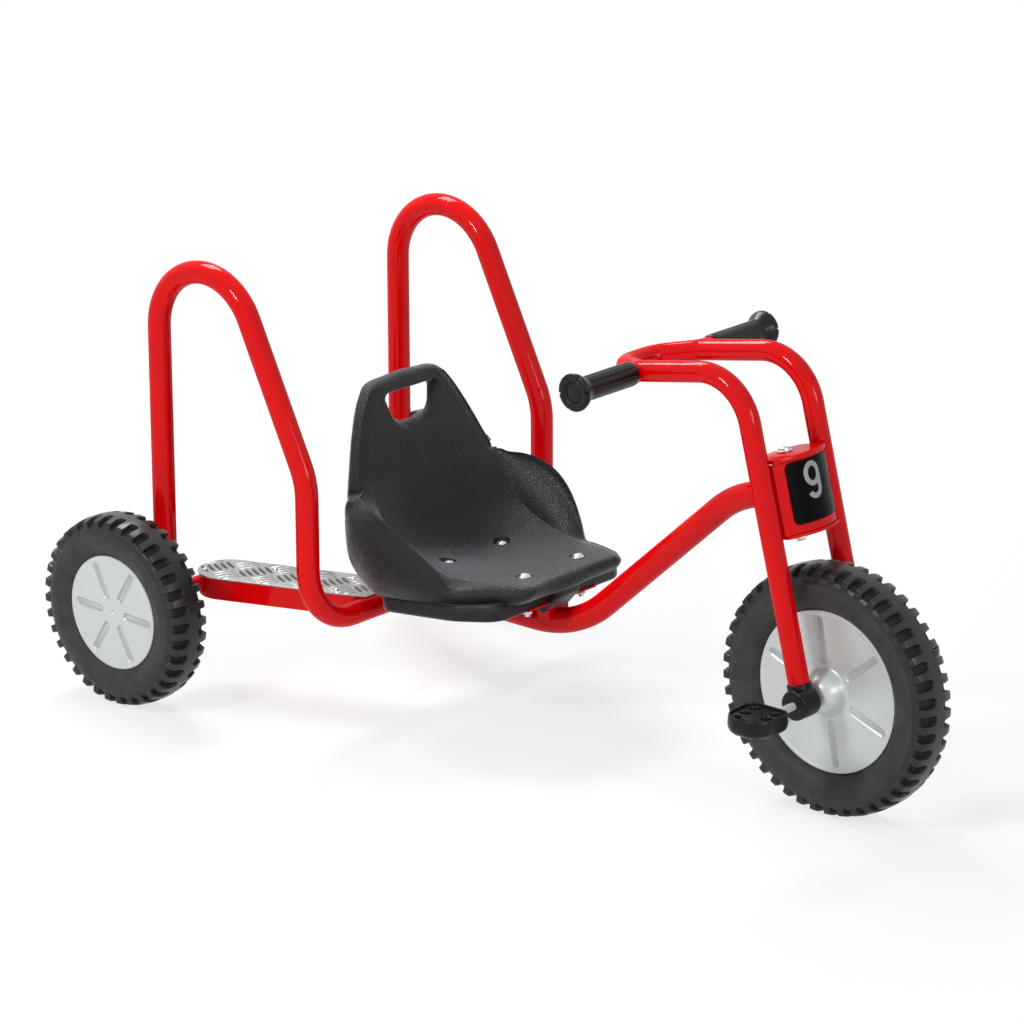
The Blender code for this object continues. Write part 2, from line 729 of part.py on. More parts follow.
def head_tube():
    half = HEAD_BOX_HALF_HEIGHT - HEAD_PLATE_SHEET - SEAT_GAP
    mesh = cylinder_mesh(
        "head_tube",
        STEER_POINT - STEER_UP * half,
        STEER_POINT + STEER_UP * half,
        HEAD_TUBE_RADIUS,
        16,
    )
    tube = add_mesh("head_tube", mesh, red_paint())
    bore = cylinder_mesh(
        "head_tube.bore",
        STEER_POINT - STEER_UP * (half + 0.01),
        STEER_POINT + STEER_UP * (half + 0.01),
        PIVOT_BOLT_RADIUS + RUNNING_GAP,
        SMALL_STEPS,
    )
    boolean(tube, add_cutter("head_tube.bore", bore))


def board_outline(side, front_x, inset=0.0):
    """A footboard from above: a round rear end and straight sides that head inboard."""
    toe = math.radians(BOARD_TOE_DEG)
    radius = BOARD_WIDTH / 2 - inset
    middle = Vector((REAR_AXLE_X + BOARD_ROUND_X, BOARD_ROUND_Y))
    ahead = Vector((math.cos(toe), -math.sin(toe)))
    outward = Vector((math.sin(toe), math.cos(toe)))
    outline = []
    for k in range(9):
        angle = math.pi * k / 8
        outline.append(middle + radius * (outward * math.cos(angle) - ahead * math.sin(angle)))
    for point in (middle - outward * radius, middle + outward * radius):
        reach = (REAR_AXLE_X + front_x - point.x) / ahead.x
        outline.append(point + ahead * reach)
    return [(x, side * y) for x, y in outline]


def footboards():
    """Each board is a plate on an open channel between the rear axle's beam and the cross tube."""
    tube = LOOP_TUBE_RADIUS + SEAT_GAP
    channel_top = CROSS_TUBE_HEIGHT + LOOP_TUBE_RADIUS
    plate_low = channel_top + SEAT_GAP
    channel_low = channel_top - CHANNEL_DEPTH
    for label, side in SIDES:
        name = f"tread_plate_{label}"
        flat = board_outline(side, LOOP_FRONT_X + BOARD_LAP)
        add_mesh(name, slab_mesh(name, flat, plate_low, plate_low + BOARD_SHEET), aluminium())
        name = f"platform_channel_{label}"
        outer = board_outline(side, LOOP_FRONT_X, CHANNEL_INSET)
        channel = add_mesh(name, slab_mesh(name, outer, channel_low, channel_top), red_paint())
        hollow = board_outline(side, LOOP_FRONT_X + 0.05, CHANNEL_INSET + CHANNEL_SHEET)
        cutter = slab_mesh(
            f"{name}.hollow", hollow, channel_low - 0.01, channel_top - CHANNEL_SHEET
        )
        boolean(channel, add_cutter(f"{name}.hollow", cutter))
        front_x = REAR_AXLE_X + LOOP_FRONT_X
        mouth = box_mesh(
            f"{name}.mouth",
            (front_x - tube, -LOOP_HALF_SPACING, channel_low - 0.01),
            (front_x + tube, LOOP_HALF_SPACING, channel_top + 0.01),
        )
        boolean(channel, add_cutter(f"{name}.mouth", mouth))
        notch = cylinder_mesh(
            f"{name}.notch",
            (REAR_AXLE_X, side * AXLE_BEAM_INNER_Y - side * 0.01, REAR_TYRE_RADIUS),
            (REAR_AXLE_X, side * LOOP_HALF_SPACING, REAR_TYRE_RADIUS),
            AXLE_BEAM_RADIUS + SEAT_GAP,
            SHAFT_STEPS,
        )
        boolean(channel, add_cutter(f"{name}.notch", notch))


def rear_axles():
    """A short beam carries the wheel's spindle, the loop's rear leg and the footboard channel."""
    hub_end = REAR_TRACK / 2 - (TYRE_WIDTH / 2 - REAR_DISC_INSET) - 0.004
    tip = REAR_TRACK / 2 + TYRE_WIDTH / 2 - REAR_DISC_INSET - DISC_SHEET - 0.003
    shoulder = hub_end - RUNNING_GAP
    beam = AXLE_BEAM_RADIUS
    spindle = REAR_SPINDLE_RADIUS
    for label, side in SIDES:
        profile = [
            (0, side * tip),
            (spindle, side * tip),
            (spindle, side * shoulder),
            (beam, side * shoulder),
            (beam, side * AXLE_BEAM_INNER_Y),
            (0, side * AXLE_BEAM_INNER_Y),
        ]
        turned(
            f"rear_axle_{label}",
            profile,
            red_paint(),
            Vector((REAR_AXLE_X, 0, REAR_TYRE_RADIUS)),
            SHAFT_STEPS,
            closed=False,
            flip=side < 0,
        )


# Seat

def smooth_row(rows, count):
    """Catmull-Rom points through rows of numbers, evenly spaced in the rows' order."""
    made = []
    last = len(rows) - 1
    for k in range(count):
        place = last * k / (count - 1)
        i = min(int(place), last - 1)
        t = place - i
        near = [rows[min(max(i + j, 0), last)] for j in (-1, 0, 1, 2)]
        shares = (
            (-t + 2 * t**2 - t**3) / 2,
            (2 - 5 * t**2 + 3 * t**3) / 2,
            (t + 4 * t**2 - 3 * t**3) / 2,
            (t**3 - t**2) / 2,
        )
        made.append([sum(s * value for s, value in zip(shares, values)) for values in zip(*near)])
    return made


# Sections of the seat from its front lip to the top of its back, in metres ahead of the rear
# axle. Each holds six places on one half: the middle (x, z) and the edge (x, y, z) of the sitting
# side, the crest of the rolled rim, the widest place of the outside, the lower or rear edge of the
# outside, and its middle (x, z).
SEAT_SECTIONS = (
    (
        0.500, 0.2135, 0.509, 0.080, 0.2165, 0.498, 0.098, 0.2145,
        0.500, 0.103, 0.204, 0.495, 0.094, 0.191, 0.503, 0.191,
    ),
    (
        0.480, 0.2135, 0.478, 0.091, 0.2155, 0.477, 0.105, 0.2135,
        0.478, 0.111, 0.203, 0.474, 0.104, 0.190, 0.480, 0.188,
    ),
    (
        0.445, 0.2117, 0.444, 0.101, 0.2125, 0.447, 0.119, 0.209,
        0.447, 0.126, 0.199, 0.443, 0.125, 0.187, 0.445, 0.182,
    ),
    (
        0.415, 0.209, 0.416, 0.108, 0.211, 0.418, 0.1305, 0.2065,
        0.417, 0.138, 0.197, 0.411, 0.1345, 0.184, 0.415, 0.177,
    ),
    (
        0.388, 0.206, 0.390, 0.113, 0.214, 0.403, 0.140, 0.226,
        0.400, 0.147, 0.207, 0.390, 0.137, 0.181, 0.388, 0.173,
    ),
    (
        0.360, 0.203, 0.368, 0.116, 0.218, 0.384, 0.150, 0.247,
        0.376, 0.158, 0.220, 0.362, 0.140, 0.178, 0.360, 0.169,
    ),
    (
        0.330, 0.202, 0.345, 0.118, 0.224, 0.362, 0.157, 0.266,
        0.348, 0.166, 0.232, 0.328, 0.141, 0.174, 0.330, 0.165,
    ),
    (
        0.304, 0.209, 0.319, 0.120, 0.237, 0.340, 0.160, 0.279,
        0.321, 0.168, 0.240, 0.299, 0.137, 0.170, 0.294, 0.163,
    ),
    (
        0.286, 0.229, 0.299, 0.120, 0.256, 0.318, 0.158, 0.288,
        0.295, 0.165, 0.248, 0.270, 0.132, 0.180, 0.263, 0.178,
    ),
    (
        0.272, 0.259, 0.283, 0.119, 0.278, 0.296, 0.151, 0.293,
        0.270, 0.159, 0.262, 0.248, 0.133, 0.204, 0.243, 0.202,
    ),
    (
        0.262, 0.287, 0.268, 0.116, 0.297, 0.275, 0.140, 0.2945,
        0.255, 0.149, 0.279, 0.242, 0.136, 0.243, 0.236, 0.243,
    ),
    (
        0.256, 0.305, 0.258, 0.109, 0.308, 0.258, 0.126, 0.305,
        0.246, 0.134, 0.299, 0.234, 0.124, 0.288, 0.230, 0.284,
    ),
    (
        0.250, 0.328, 0.251, 0.101, 0.329, 0.248, 0.118, 0.329,
        0.236, 0.121, 0.326, 0.225, 0.110, 0.322, 0.224, 0.320,
    ),
    (
        0.243, 0.356, 0.243, 0.090, 0.356, 0.240, 0.106, 0.356,
        0.227, 0.108, 0.355, 0.216, 0.096, 0.353, 0.216, 0.353,
    ),
    (
        0.232, 0.396, 0.233, 0.072, 0.395, 0.230, 0.086, 0.393,
        0.217, 0.088, 0.392, 0.206, 0.076, 0.392, 0.206, 0.393,
    ),
    (
        0.227, 0.415, 0.228, 0.058, 0.414, 0.226, 0.073, 0.4105,
        0.213, 0.075, 0.4105, 0.203, 0.062, 0.412, 0.202, 0.413,
    ),
)
SEAT_ROWS = 19
SEAT_LIP_STEPS = 4
SEAT_RIM_SHARE = 0.12  # of the way from the crest back to the floor's edge, where its roll begins


def seat_lift():
    """The seat rides on the backbone, so it rises with the cross tube from its table's place."""
    return CROSS_TUBE_HEIGHT - SEAT_TABLE_TUBE_HEIGHT


def seat_half(numbers):
    """Points from the middle of the sitting side, over the crest, to the middle of the outside."""
    middle = Vector((numbers[0], 0, numbers[1]))
    edge, crest, widest, lower = (Vector(numbers[i : i + 3]) for i in (2, 5, 8, 11))
    under = Vector((numbers[14], 0, numbers[15]))
    roll = crest + (edge - crest) * SEAT_RIM_SHARE + (widest - crest) * SEAT_RIM_SHARE
    points = [middle]
    for t in (0.5, 1.0):
        # The floor dips a little between its edges.
        dip = t**2
        points.append(
            Vector(
                (
                    middle.x + (edge.x - middle.x) * dip,
                    edge.y * t,
                    middle.z + (edge.z - middle.z) * dip,
                )
            )
        )
    for t in (0.35, 0.7, 1.0):
        # The side rises from the floor's edge to the rim in a quarter-round sweep.
        out = math.sin(t * math.pi / 2)
        rise = 1 - math.cos(t * math.pi / 2)
        points.append(
            Vector(
                (
                    edge.x + (roll.x - edge.x) * t,
                    edge.y + (roll.y - edge.y) * out,
                    edge.z + (roll.z - edge.z) * rise,
                )
            )
        )
    points.append(crest)
    points.append(crest.lerp(widest, 0.35) + (crest - edge).normalized() * 0.0015)
    points.append(widest)
    points.append(
        Vector(
            (
                widest.x + (lower.x - widest.x) * 0.5,
                widest.y + (lower.y - widest.y) * 0.35,
                widest.z + (lower.z - widest.z) * 0.65,
            )
        )
    )
    points.append(lower)
    points.append(under.lerp(lower, 0.5))
    points.append(under)
    for point in points:
        point.x += REAR_AXLE_X
        point.z += seat_lift()
    return points


def seat_shell_mesh():
    """A loft of closed sections, with a rounded strip across its front lip and its top edge."""
    shape = bmesh.new()
    halves = [seat_half(numbers) for numbers in smooth_row(SEAT_SECTIONS, SEAT_ROWS)]
    last = len(halves[0]) - 1
    rings = []
    for half in halves:
        mirrored = [Vector((p.x, -p.y, p.z)) for p in half[1:last]]
        rings.append([shape.verts.new(p) for p in half + mirrored[::-1]])
    count = len(rings[0])
    for row, after in zip(rings, rings[1:]):
        for c in range(count):
            d = (c + 1) % count
            shape.faces.new([row[c], row[d], after[d], after[c]])
    for ring, inside in ((rings[0], rings[1]), (rings[-1], rings[-2])):
        crest = last // 2
        # Each place of the sitting side is paired with the one behind it on the outside.
        top = [ring[-k] if k < 0 else ring[k] for k in range(crest - 1, 0, -1)]
        top += [ring[0]] + [ring[count - k] for k in range(1, crest)]
        back = [ring[last - k] for k in range(crest - 1, 0, -1)]
        back += [ring[last]] + [ring[(last + k) % count] for k in range(1, crest)]
        behind = [inside[ring.index(v)] for v in top]
        # A half-round nose runs between each pair.
        strips = [top]
        for step in range(1, SEAT_LIP_STEPS):
            angle = math.pi * step / SEAT_LIP_STEPS
            strip = []
            for a, b, before in zip(top, back, behind):
                away = (a.co - before.co).normalized() * (a.co - b.co).length * SEAT_LIP_BULGE
                middle = (a.co + b.co) / 2
                point = middle + (a.co - b.co) / 2 * math.cos(angle) + away * math.sin(angle)
                strip.append(shape.verts.new(point))
            strips.append(strip)
        strips.append(back)
        for over, under in zip(strips, strips[1:]):
            shape.faces.new([ring[crest], over[0], under[0]])
            shape.faces.new([ring[count - crest], over[-1], under[-1]])
            for k in range(len(top) - 1):
                shape.faces.new([over[k], over[k + 1], under[k + 1], under[k]])
    bmesh.ops.recalc_face_normals(shape, faces=shape.faces)
    bmesh.ops.triangulate(shape, faces=shape.faces)
    return mesh_from_bmesh("seat_shell", shape)


def pan_frame(x):
    """A frame on the pan's surface at x ahead of the rear axle, its Z square to the pan."""
    slope = math.radians(SEAT_PAN_SLOPE_DEG)
    rise = (x - SEAT_BOLT_REAR_X) * math.tan(slope)
    origin = Vector((REAR_AXLE_X + x, 0, CROSS_TUBE_HEIGHT + SEAT_PAN_RISE + rise))
    forward = Vector((math.cos(slope), 0, math.sin(slope)))
    up = Vector((-math.sin(slope), 0, math.cos(slope)))
    return frame_matrix(origin, forward, Vector((0, 1, 0)), up)


def handle_hole_mesh():
    """A D-shaped hole, straight on top and round below, with a waist and two flared mouths."""
    shape = bmesh.new()
    low, high = SEAT_SECTIONS[-3], SEAT_SECTIONS[-2]
    lean = (high[0] - low[0]) / (high[1] - low[1])
    rings = []
    for depth in (-1.4, -1.0, -0.5, 0.0, 0.5, 1.0, 1.4):
        flare = HANDLE_HOLE_FLARE * depth**2
        half = HANDLE_HOLE_HALF_WIDTH + flare
        top = HANDLE_HOLE_TOP + flare * 0.5
        drop = HANDLE_HOLE_DROP + flare
        ring = []
        for k in range(9):
            angle = math.pi + math.pi * k / 8
            z = top + drop * math.sin(angle)
            x = REAR_AXLE_X + high[0] + (z - high[1]) * lean + (depth - 1) * HANDLE_HOLE_DEPTH / 2
            ring.append(shape.verts.new((x, half * math.cos(angle), z + seat_lift())))
        rings.append(ring)
    count = len(rings[0])
    for ring, after in zip(rings, rings[1:]):
        for k in range(count):
            shape.faces.new([ring[k], ring[(k + 1) % count], after[(k + 1) % count], after[k]])
    shape.faces.new(rings[0][::-1])
    shape.faces.new(rings[-1])
    bmesh.ops.recalc_face_normals(shape, faces=shape.faces)
    bmesh.ops.triangulate(shape, faces=shape.faces)
    return mesh_from_bmesh("seat.handle", shape)


def seat():
    shell = add_mesh("seat_shell", seat_shell_mesh(), black_plastic(), 45.0)
    frame = pan_frame(SEAT_BOLT_REAR_X)
    slope = math.radians(SEAT_PAN_SLOPE_DEG)
    rear = (SEAT_BASE_REAR_X - SEAT_BOLT_REAR_X) / math.cos(slope)
    front = (SEAT_BASE_FRONT_X - SEAT_BOLT_REAR_X) / math.cos(slope)
    middle = (SEAT_BASE_MIDDLE_X - SEAT_BOLT_REAR_X) / math.cos(slope)
    half = SEAT_BASE_HALF_WIDTH
    wide = SEAT_BASE_REAR_HALF_WIDTH
    outline = rounded_outline(
        [
            (rear, wide),
            (middle, wide),
            (front, half),
            (front, -half),
            (middle, -wide),
            (rear, -wide),
        ],
        [SEAT_BASE_CORNER, SEAT_BASE_WAIST, SEAT_BASE_CORNER] * 2,
    )
    skirt = -SEAT_DEPTH_UNDER_PAN - SEAT_SKIRT_DROP
    base = slab_mesh("seat.base", outline, skirt, -SEAT_BASE_SINK, frame)
    boolean(shell, add_cutter("seat.base", base), "UNION")
    # The keel is a prism across the kart that comes down to the backbone behind the front lip.
    origin = Vector((REAR_AXLE_X, 0, seat_lift()))
    across = frame_matrix(origin, Vector((1, 0, 0)), Vector((0, 0, 1)), Vector((0, -1, 0)))
    keel = slab_mesh("seat.keel", SEAT_KEEL, -SEAT_KEEL_HALF_WIDTH, SEAT_KEEL_HALF_WIDTH, across)
    boolean(shell, add_cutter("seat.keel", keel), "UNION")
    for place, x, ends, foot in seat_bracket_places():
        # Each bracket's bar lies in a pocket of the base, and its saddle in a notch of the keel.
        half_bar = BRACKET_BAR_WIDTH / 2 + SEAT_GAP
        half_long = BRACKET_HALF_WIDTH + SEAT_GAP
        pocket = box_mesh(
            f"seat.pocket_{place}",
            (-half_bar, -half_long, skirt - SEAT_POCKET_LAP),
            (half_bar, half_long, -SEAT_DEPTH_UNDER_PAN),
            pan_frame(x),
        )
        boolean(shell, add_cutter(f"seat.pocket_{place}", pocket))
        cheek = BACKBONE_RADIUS + BRACKET_SHEET + 2 * SEAT_GAP
        notch = box_mesh(
            f"seat.notch_{place}",
            (ends[0] - x - SEAT_GAP, -cheek, foot - pan_frame(x).translation.z - SEAT_GAP),
            (ends[1] - x + SEAT_GAP, cheek, skirt),
            pan_frame(x),
        )
        boolean(shell, add_cutter(f"seat.notch_{place}", notch))
    path = bent_path(backbone_points(), (BACKBONE_LOW_BEND, BACKBONE_TOP_BEND))
    tunnel = tube_mesh("seat.tunnel", path, BACKBONE_RADIUS + SEAT_TUBE_CLEARANCE)
    boolean(shell, add_cutter("seat.tunnel", tunnel))

    boolean(shell, add_cutter("seat.handle", handle_hole_mesh()))

    for place, x in (("rear", SEAT_BOLT_REAR_X), ("front", SEAT_BOLT_FRONT_X)):
        for label, side in SIDES:
            at = pan_frame(x) @ Matrix.Translation((0, side * SEAT_BOLT_HALF_SPACING, 0))
            bore = cylinder_mesh(
                f"seat.bore_{place}_{label}",
                at @ Vector((0, 0, -SEAT_BORE_DOWN)),
                at @ Vector((0, 0, SEAT_BORE_UP)),
                SEAT_BOLT_RADIUS + BOLT_GAP,
                8,
            )
            boolean(shell, add_cutter(f"seat.bore_{place}_{label}", bore))
            recess = cylinder_mesh(
                f"seat.recess_{place}_{label}",
                at @ Vector((0, 0, -SEAT_RECESS_DEPTH)),
                at @ Vector((0, 0, 0.02)),
                SEAT_WASHER_RADIUS + 0.002,
                SMALL_STEPS,
            )
            boolean(shell, add_cutter(f"seat.recess_{place}_{label}", recess))


def seat_bolts():
    """Each bolt has its washer and head in the seat's recess and a nut under the bracket."""
    for place, x in (("rear", SEAT_BOLT_REAR_X), ("front", SEAT_BOLT_FRONT_X)):
        for label, side in SIDES:
            at = pan_frame(x) @ Matrix.Translation((0, side * SEAT_BOLT_HALF_SPACING, 0))
            seat_z = -SEAT_RECESS_DEPTH + SEAT_GAP
            washer = 0.0015
            head = 0.0035
            under = -SEAT_DEPTH_UNDER_PAN - SEAT_GAP - BRACKET_SHEET
            nut_top = under - SEAT_GAP
            nut = 0.006
            shank = SEAT_BOLT_RADIUS
            rim = SEAT_BOLT_HEAD_RADIUS
            profile = [
                (0, seat_z + washer + head),
                (rim, seat_z + washer),
                (SEAT_WASHER_RADIUS, seat_z + washer),
                (SEAT_WASHER_RADIUS, seat_z),
                (shank, seat_z),
                (shank, nut_top - nut - 0.002),
                (0, nut_top - nut - 0.002),
            ]
            bolt = turned(f"seat_bolt_{place}_{label}", profile, zinc(), (0, 0, 0), 8, closed=False)
            bolt.rotation_euler = at.to_euler()
            bolt.location = at.translation
            nut_mesh = cylinder_mesh(
                f"seat_nut_{place}_{label}",
                at @ Vector((0, 0, nut_top - nut)),
                at @ Vector((0, 0, nut_top)),
                0.0075,
                6,
            )
            nut_obj = add_mesh(f"seat_nut_{place}_{label}", nut_mesh, zinc(), 30.0)
            thread = cylinder_mesh(
                f"seat.thread_{place}_{label}",
                at @ Vector((0, 0, nut_top - nut - 0.01)),
                at @ Vector((0, 0, nut_top + 0.01)),
                shank + BOLT_GAP,
                8,
            )
            boolean(nut_obj, add_cutter(f"seat.thread_{place}_{label}", thread))


def seat_bracket_places():
    """Each bracket's name, its bolts' place, its saddle's ends and how low the saddle reaches."""
    return (
        ("rear", SEAT_BOLT_REAR_X, BRACKET_REAR_SADDLE, CROSS_TUBE_HEIGHT),
        ("front", SEAT_BOLT_FRONT_X, BRACKET_FRONT_SADDLE, CROSS_TUBE_HEIGHT + BRACKET_FRONT_FOOT_RISE),
    )


def seat_brackets():
    """Two cross bars under the seat, each on a saddle that straddles the backbone."""
    tube = BACKBONE_RADIUS + SEAT_GAP
    for place, x, ends, foot in seat_bracket_places():
        frame = pan_frame(x)
        top = -SEAT_DEPTH_UNDER_PAN - SEAT_GAP
        bar = BRACKET_BAR_WIDTH / 2
        name = f"seat_bracket_{place}"
        mesh = box_mesh(
            name,
            (-bar, -BRACKET_HALF_WIDTH, top - BRACKET_SHEET),
            (bar, BRACKET_HALF_WIDTH, top),
            frame,
        )
        bracket = add_mesh(name, mesh, red_paint(), 30.0)
        cheek = tube + BRACKET_SHEET
        drop = frame.translation.z - foot
        saddle = box_mesh(
            f"{name}.saddle", (ends[0] - x, -cheek, -drop), (ends[1] - x, cheek, top - SEAT_GAP), frame
        )
        boolean(bracket, add_cutter(f"{name}.saddle", saddle), "UNION")
        for label, side in SIDES:
            hole = cylinder_mesh(
                f"{name}.hole_{label}",
                frame @ Vector((0, side * SEAT_BOLT_HALF_SPACING, top - 0.02)),
                frame @ Vector((0, side * SEAT_BOLT_HALF_SPACING, top + 0.01)),
                SEAT_BOLT_RADIUS + BOLT_GAP,
                8,
            )
            boolean(bracket, add_cutter(f"{name}.hole_{label}", hole))
        path = bent_path(backbone_points(), (BACKBONE_LOW_BEND, BACKBONE_TOP_BEND))
        notch = tube_mesh(f"{name}.notch", path, tube)
        boolean(bracket, add_cutter(f"{name}.notch", notch))


# Steering

def fork_leg_corners(side):
    """Foot in the bearing block, bend at the top, then the arm to the handlebar."""
    y = side * FORK_HALF_SPACING
    line = STEER_POINT + STEER_FORWARD * FORK_LEG_OFFSET
    foot_up = (FRONT_AXLE - line).dot(STEER_UP) + FORK_FOOT_ABOVE_AXLE
    foot = line + STEER_UP * foot_up
    corner_up = (ARM_CORNER_HEIGHT - line.z) / STEER_UP.z
    corner = line + STEER_UP * corner_up
    fall = math.tan(math.radians(ARM_SLOPE_DEG))
    back = REAR_AXLE_X + HANDLEBAR_X
    end = Vector((back, 0, corner.z - (corner.x - back) * fall))
    return [Vector((p.x, y, p.z)) for p in (foot, corner, end)]


def handlebar_height():
    return fork_leg_corners(1)[2].z


def handlebar_path():
    """Level with the arms' ends, bowed rearward and down in the arms' plane between them."""
    x = REAR_AXLE_X + HANDLEBAR_X
    z = handlebar_height()
    fall = math.tan(math.radians(ARM_SLOPE_DEG))
    end = HANDLEBAR_HALF_WIDTH
    bow = HANDLEBAR_BOW_DEPTH
    half = FORK_HALF_SPACING - 0.002
    corners = [
        (x, end, z),
        (x, half, z),
        (x - bow, half * 0.52, z - bow * fall),
        (x - bow, -half * 0.52, z - bow * fall),
        (x, -half, z),
        (x, -end, z),
    ]
    return bent_path(corners, (0.022, 0.036, 0.036, 0.022))


def fork():
    bar_path = handlebar_path()
    bar = tube_mesh("handlebar", bar_path, FORK_TUBE_RADIUS)
    add_mesh("handlebar", bar, red_paint())
    for label, side in SIDES:
        path = bent_path(fork_leg_corners(side), (FORK_BEND_RADIUS,))
        name = f"fork_leg_{label}"
        leg = add_mesh(name, tube_mesh(name, path, FORK_TUBE_RADIUS), red_paint())
        mouth = tube_mesh(f"{name}.mouth", bar_path, FORK_TUBE_RADIUS + SEAT_GAP)
        boolean(leg, add_cutter(f"{name}.mouth", mouth))


def grips():
    z = handlebar_height()
    bore = FORK_TUBE_RADIUS + SEAT_GAP
    # The handlebar's ends are swaged down inside the grips, so the grip's wall stays thick.
    for label, side in SIDES:
        outer_y = HANDLEBAR_HALF_WIDTH + GRIP_END_WALL + SEAT_GAP
        inner_y = outer_y - GRIP_LENGTH
        flange_y = outer_y - GRIP_FLANGE_THICKNESS
        dish = 0.002
        profile = [
            (0, outer_y - dish),
            (GRIP_FLANGE_RADIUS * 0.55, outer_y - dish),
            (GRIP_FLANGE_RADIUS * 0.66, outer_y),
            (GRIP_FLANGE_RADIUS - 0.002, outer_y - 0.001),
            (GRIP_FLANGE_RADIUS, outer_y - 0.004),
            (GRIP_FLANGE_RADIUS - 0.001, flange_y + 0.001),
            (GRIP_RADIUS, flange_y - 0.006),
            (GRIP_RADIUS, inner_y),
            (bore, inner_y),
            (bore, HANDLEBAR_HALF_WIDTH + SEAT_GAP),
            (0, HANDLEBAR_HALF_WIDTH + SEAT_GAP),
        ]
        name = f"grip_{label}"
        grip = turned(
            name,
            [(r, side * y) for r, y in profile],
            black_plastic(),
            Vector((REAR_AXLE_X + HANDLEBAR_X, 0, z)),
            18,
            closed=False,
            flip=side < 0,
        )
        shape = bmesh.new()
        for k in range(GRIP_NOTCH_COUNT):
            notch = bmesh.ops.create_cube(shape, size=1.0)["verts"]
            bmesh.ops.scale(shape, vec=(0.004, 0.003, 0.004), verts=notch)
            bmesh.ops.translate(shape, vec=(GRIP_FLANGE_RADIUS, side * outer_y, 0), verts=notch)
            turn = Matrix.Rotation(2 * math.pi * (k + 0.5) / GRIP_NOTCH_COUNT, 4, "Y")
            bmesh.ops.transform(shape, matrix=turn, verts=notch)
        place = Vector((REAR_AXLE_X + HANDLEBAR_X, 0, z))
        bmesh.ops.translate(shape, vec=place, verts=shape.verts)
        boolean(grip, add_cutter(f"{name}.notches", mesh_from_bmesh(f"{name}.notches", shape)))


def head_arc(end_forward, half_width=HEAD_PANEL_HALF_WIDTH):
    """Points (forward, across) along the head panel's facets, from the left end to the right."""
    full = HEAD_PANEL_HALF_WIDTH
    nodes = [full * (1 - 2 * k / HEAD_PANEL_FACETS) for k in range(HEAD_PANEL_FACETS + 1)]
    bulges = [end_forward + HEAD_PANEL_BULGE * (1 - (y / full) ** 2) for y in nodes]
    across = [half_width] + [y for y in nodes if abs(y) < half_width] + [-half_width]
    forward = np.interp(across, nodes[::-1], bulges[::-1])
    return [(float(x), y) for x, y in zip(forward, across)]


def head_box():
    """Top and bottom plates welded between the fork legs, and the bowed panel between them."""
    half = HEAD_BOX_HALF_HEIGHT
    sheet = HEAD_PLATE_SHEET
    rear = -HEAD_TUBE_RADIUS - 0.004
    outline = head_arc(HEAD_PANEL_END + HEAD_PLATE_LIP) + [
        (0.0, -HEAD_PANEL_HALF_WIDTH),
        (rear, -HEAD_TUBE_RADIUS * 1.2),
        (rear, HEAD_TUBE_RADIUS * 1.2),
        (0.0, HEAD_PANEL_HALF_WIDTH),
    ]
    for name, low, high in (
        ("head_top_plate", half - sheet, half),
        ("head_bottom_plate", -half, -half + sheet),
    ):
        plate = add_mesh(name, slab_mesh(name, outline, low, high, STEER_FRAME), red_paint(), 30.0)
        bore = cylinder_mesh(
            f"{name}.bore",
            STEER_POINT + STEER_UP * (low - 0.01),
            STEER_POINT + STEER_UP * (high + 0.01),
            PIVOT_BOLT_RADIUS + SEAT_GAP,
        )
        boolean(plate, add_cutter(f"{name}.bore", bore))
        for label, side in SIDES:
            leg = tube_mesh(
                f"{name}.leg_{label}", fork_leg_corners(side)[:2], FORK_TUBE_RADIUS + SEAT_GAP
            )
            boolean(plate, add_cutter(f"{name}.leg_{label}", leg))
    inner = half - sheet - SEAT_GAP
    outline = head_arc(HEAD_PANEL_END) + head_arc(HEAD_PANEL_END - HEAD_PANEL_SHEET)[::-1]
    add_mesh("head_panel", slab_mesh("head_panel", outline, -inner, inner, STEER_FRAME), red_paint(), 30.0)


def number_plate():
    """A thin plate with round corners that follows the head panel's curve."""
    low = NUMBER_PLATE_RISE - NUMBER_PLATE_HEIGHT / 2
    high = NUMBER_PLATE_RISE + NUMBER_PLATE_HEIGHT / 2
    width = NUMBER_PLATE_HALF_WIDTH
    back = HEAD_PANEL_END + SEAT_GAP * 1.3
    outline = head_arc(back, width) + head_arc(back + NUMBER_PLATE_SHEET, width)[::-1]
    mesh = slab_mesh("number_plate", outline, low, high, STEER_FRAME)
    plate = add_mesh("number_plate", mesh, material("Number plate", (0.01, 0.01, 0.01), 0.3), 30.0)
    corner = NUMBER_PLATE_CORNER
    frame_yz = STEER_FRAME @ Matrix(((0, 0, 1, 0), (1, 0, 0, 0), (0, 1, 0, 0), (0, 0, 0, 1)))
    shape_outline = rounded_outline(
        [(-width, low), (-width, high), (width, high), (width, low)], [corner] * 4, 3
    )
    keep = slab_mesh("number_plate.outline", shape_outline, 0.0, 0.08, frame_yz)
    boolean(plate, add_cutter("number_plate.outline", keep), "INTERSECT")


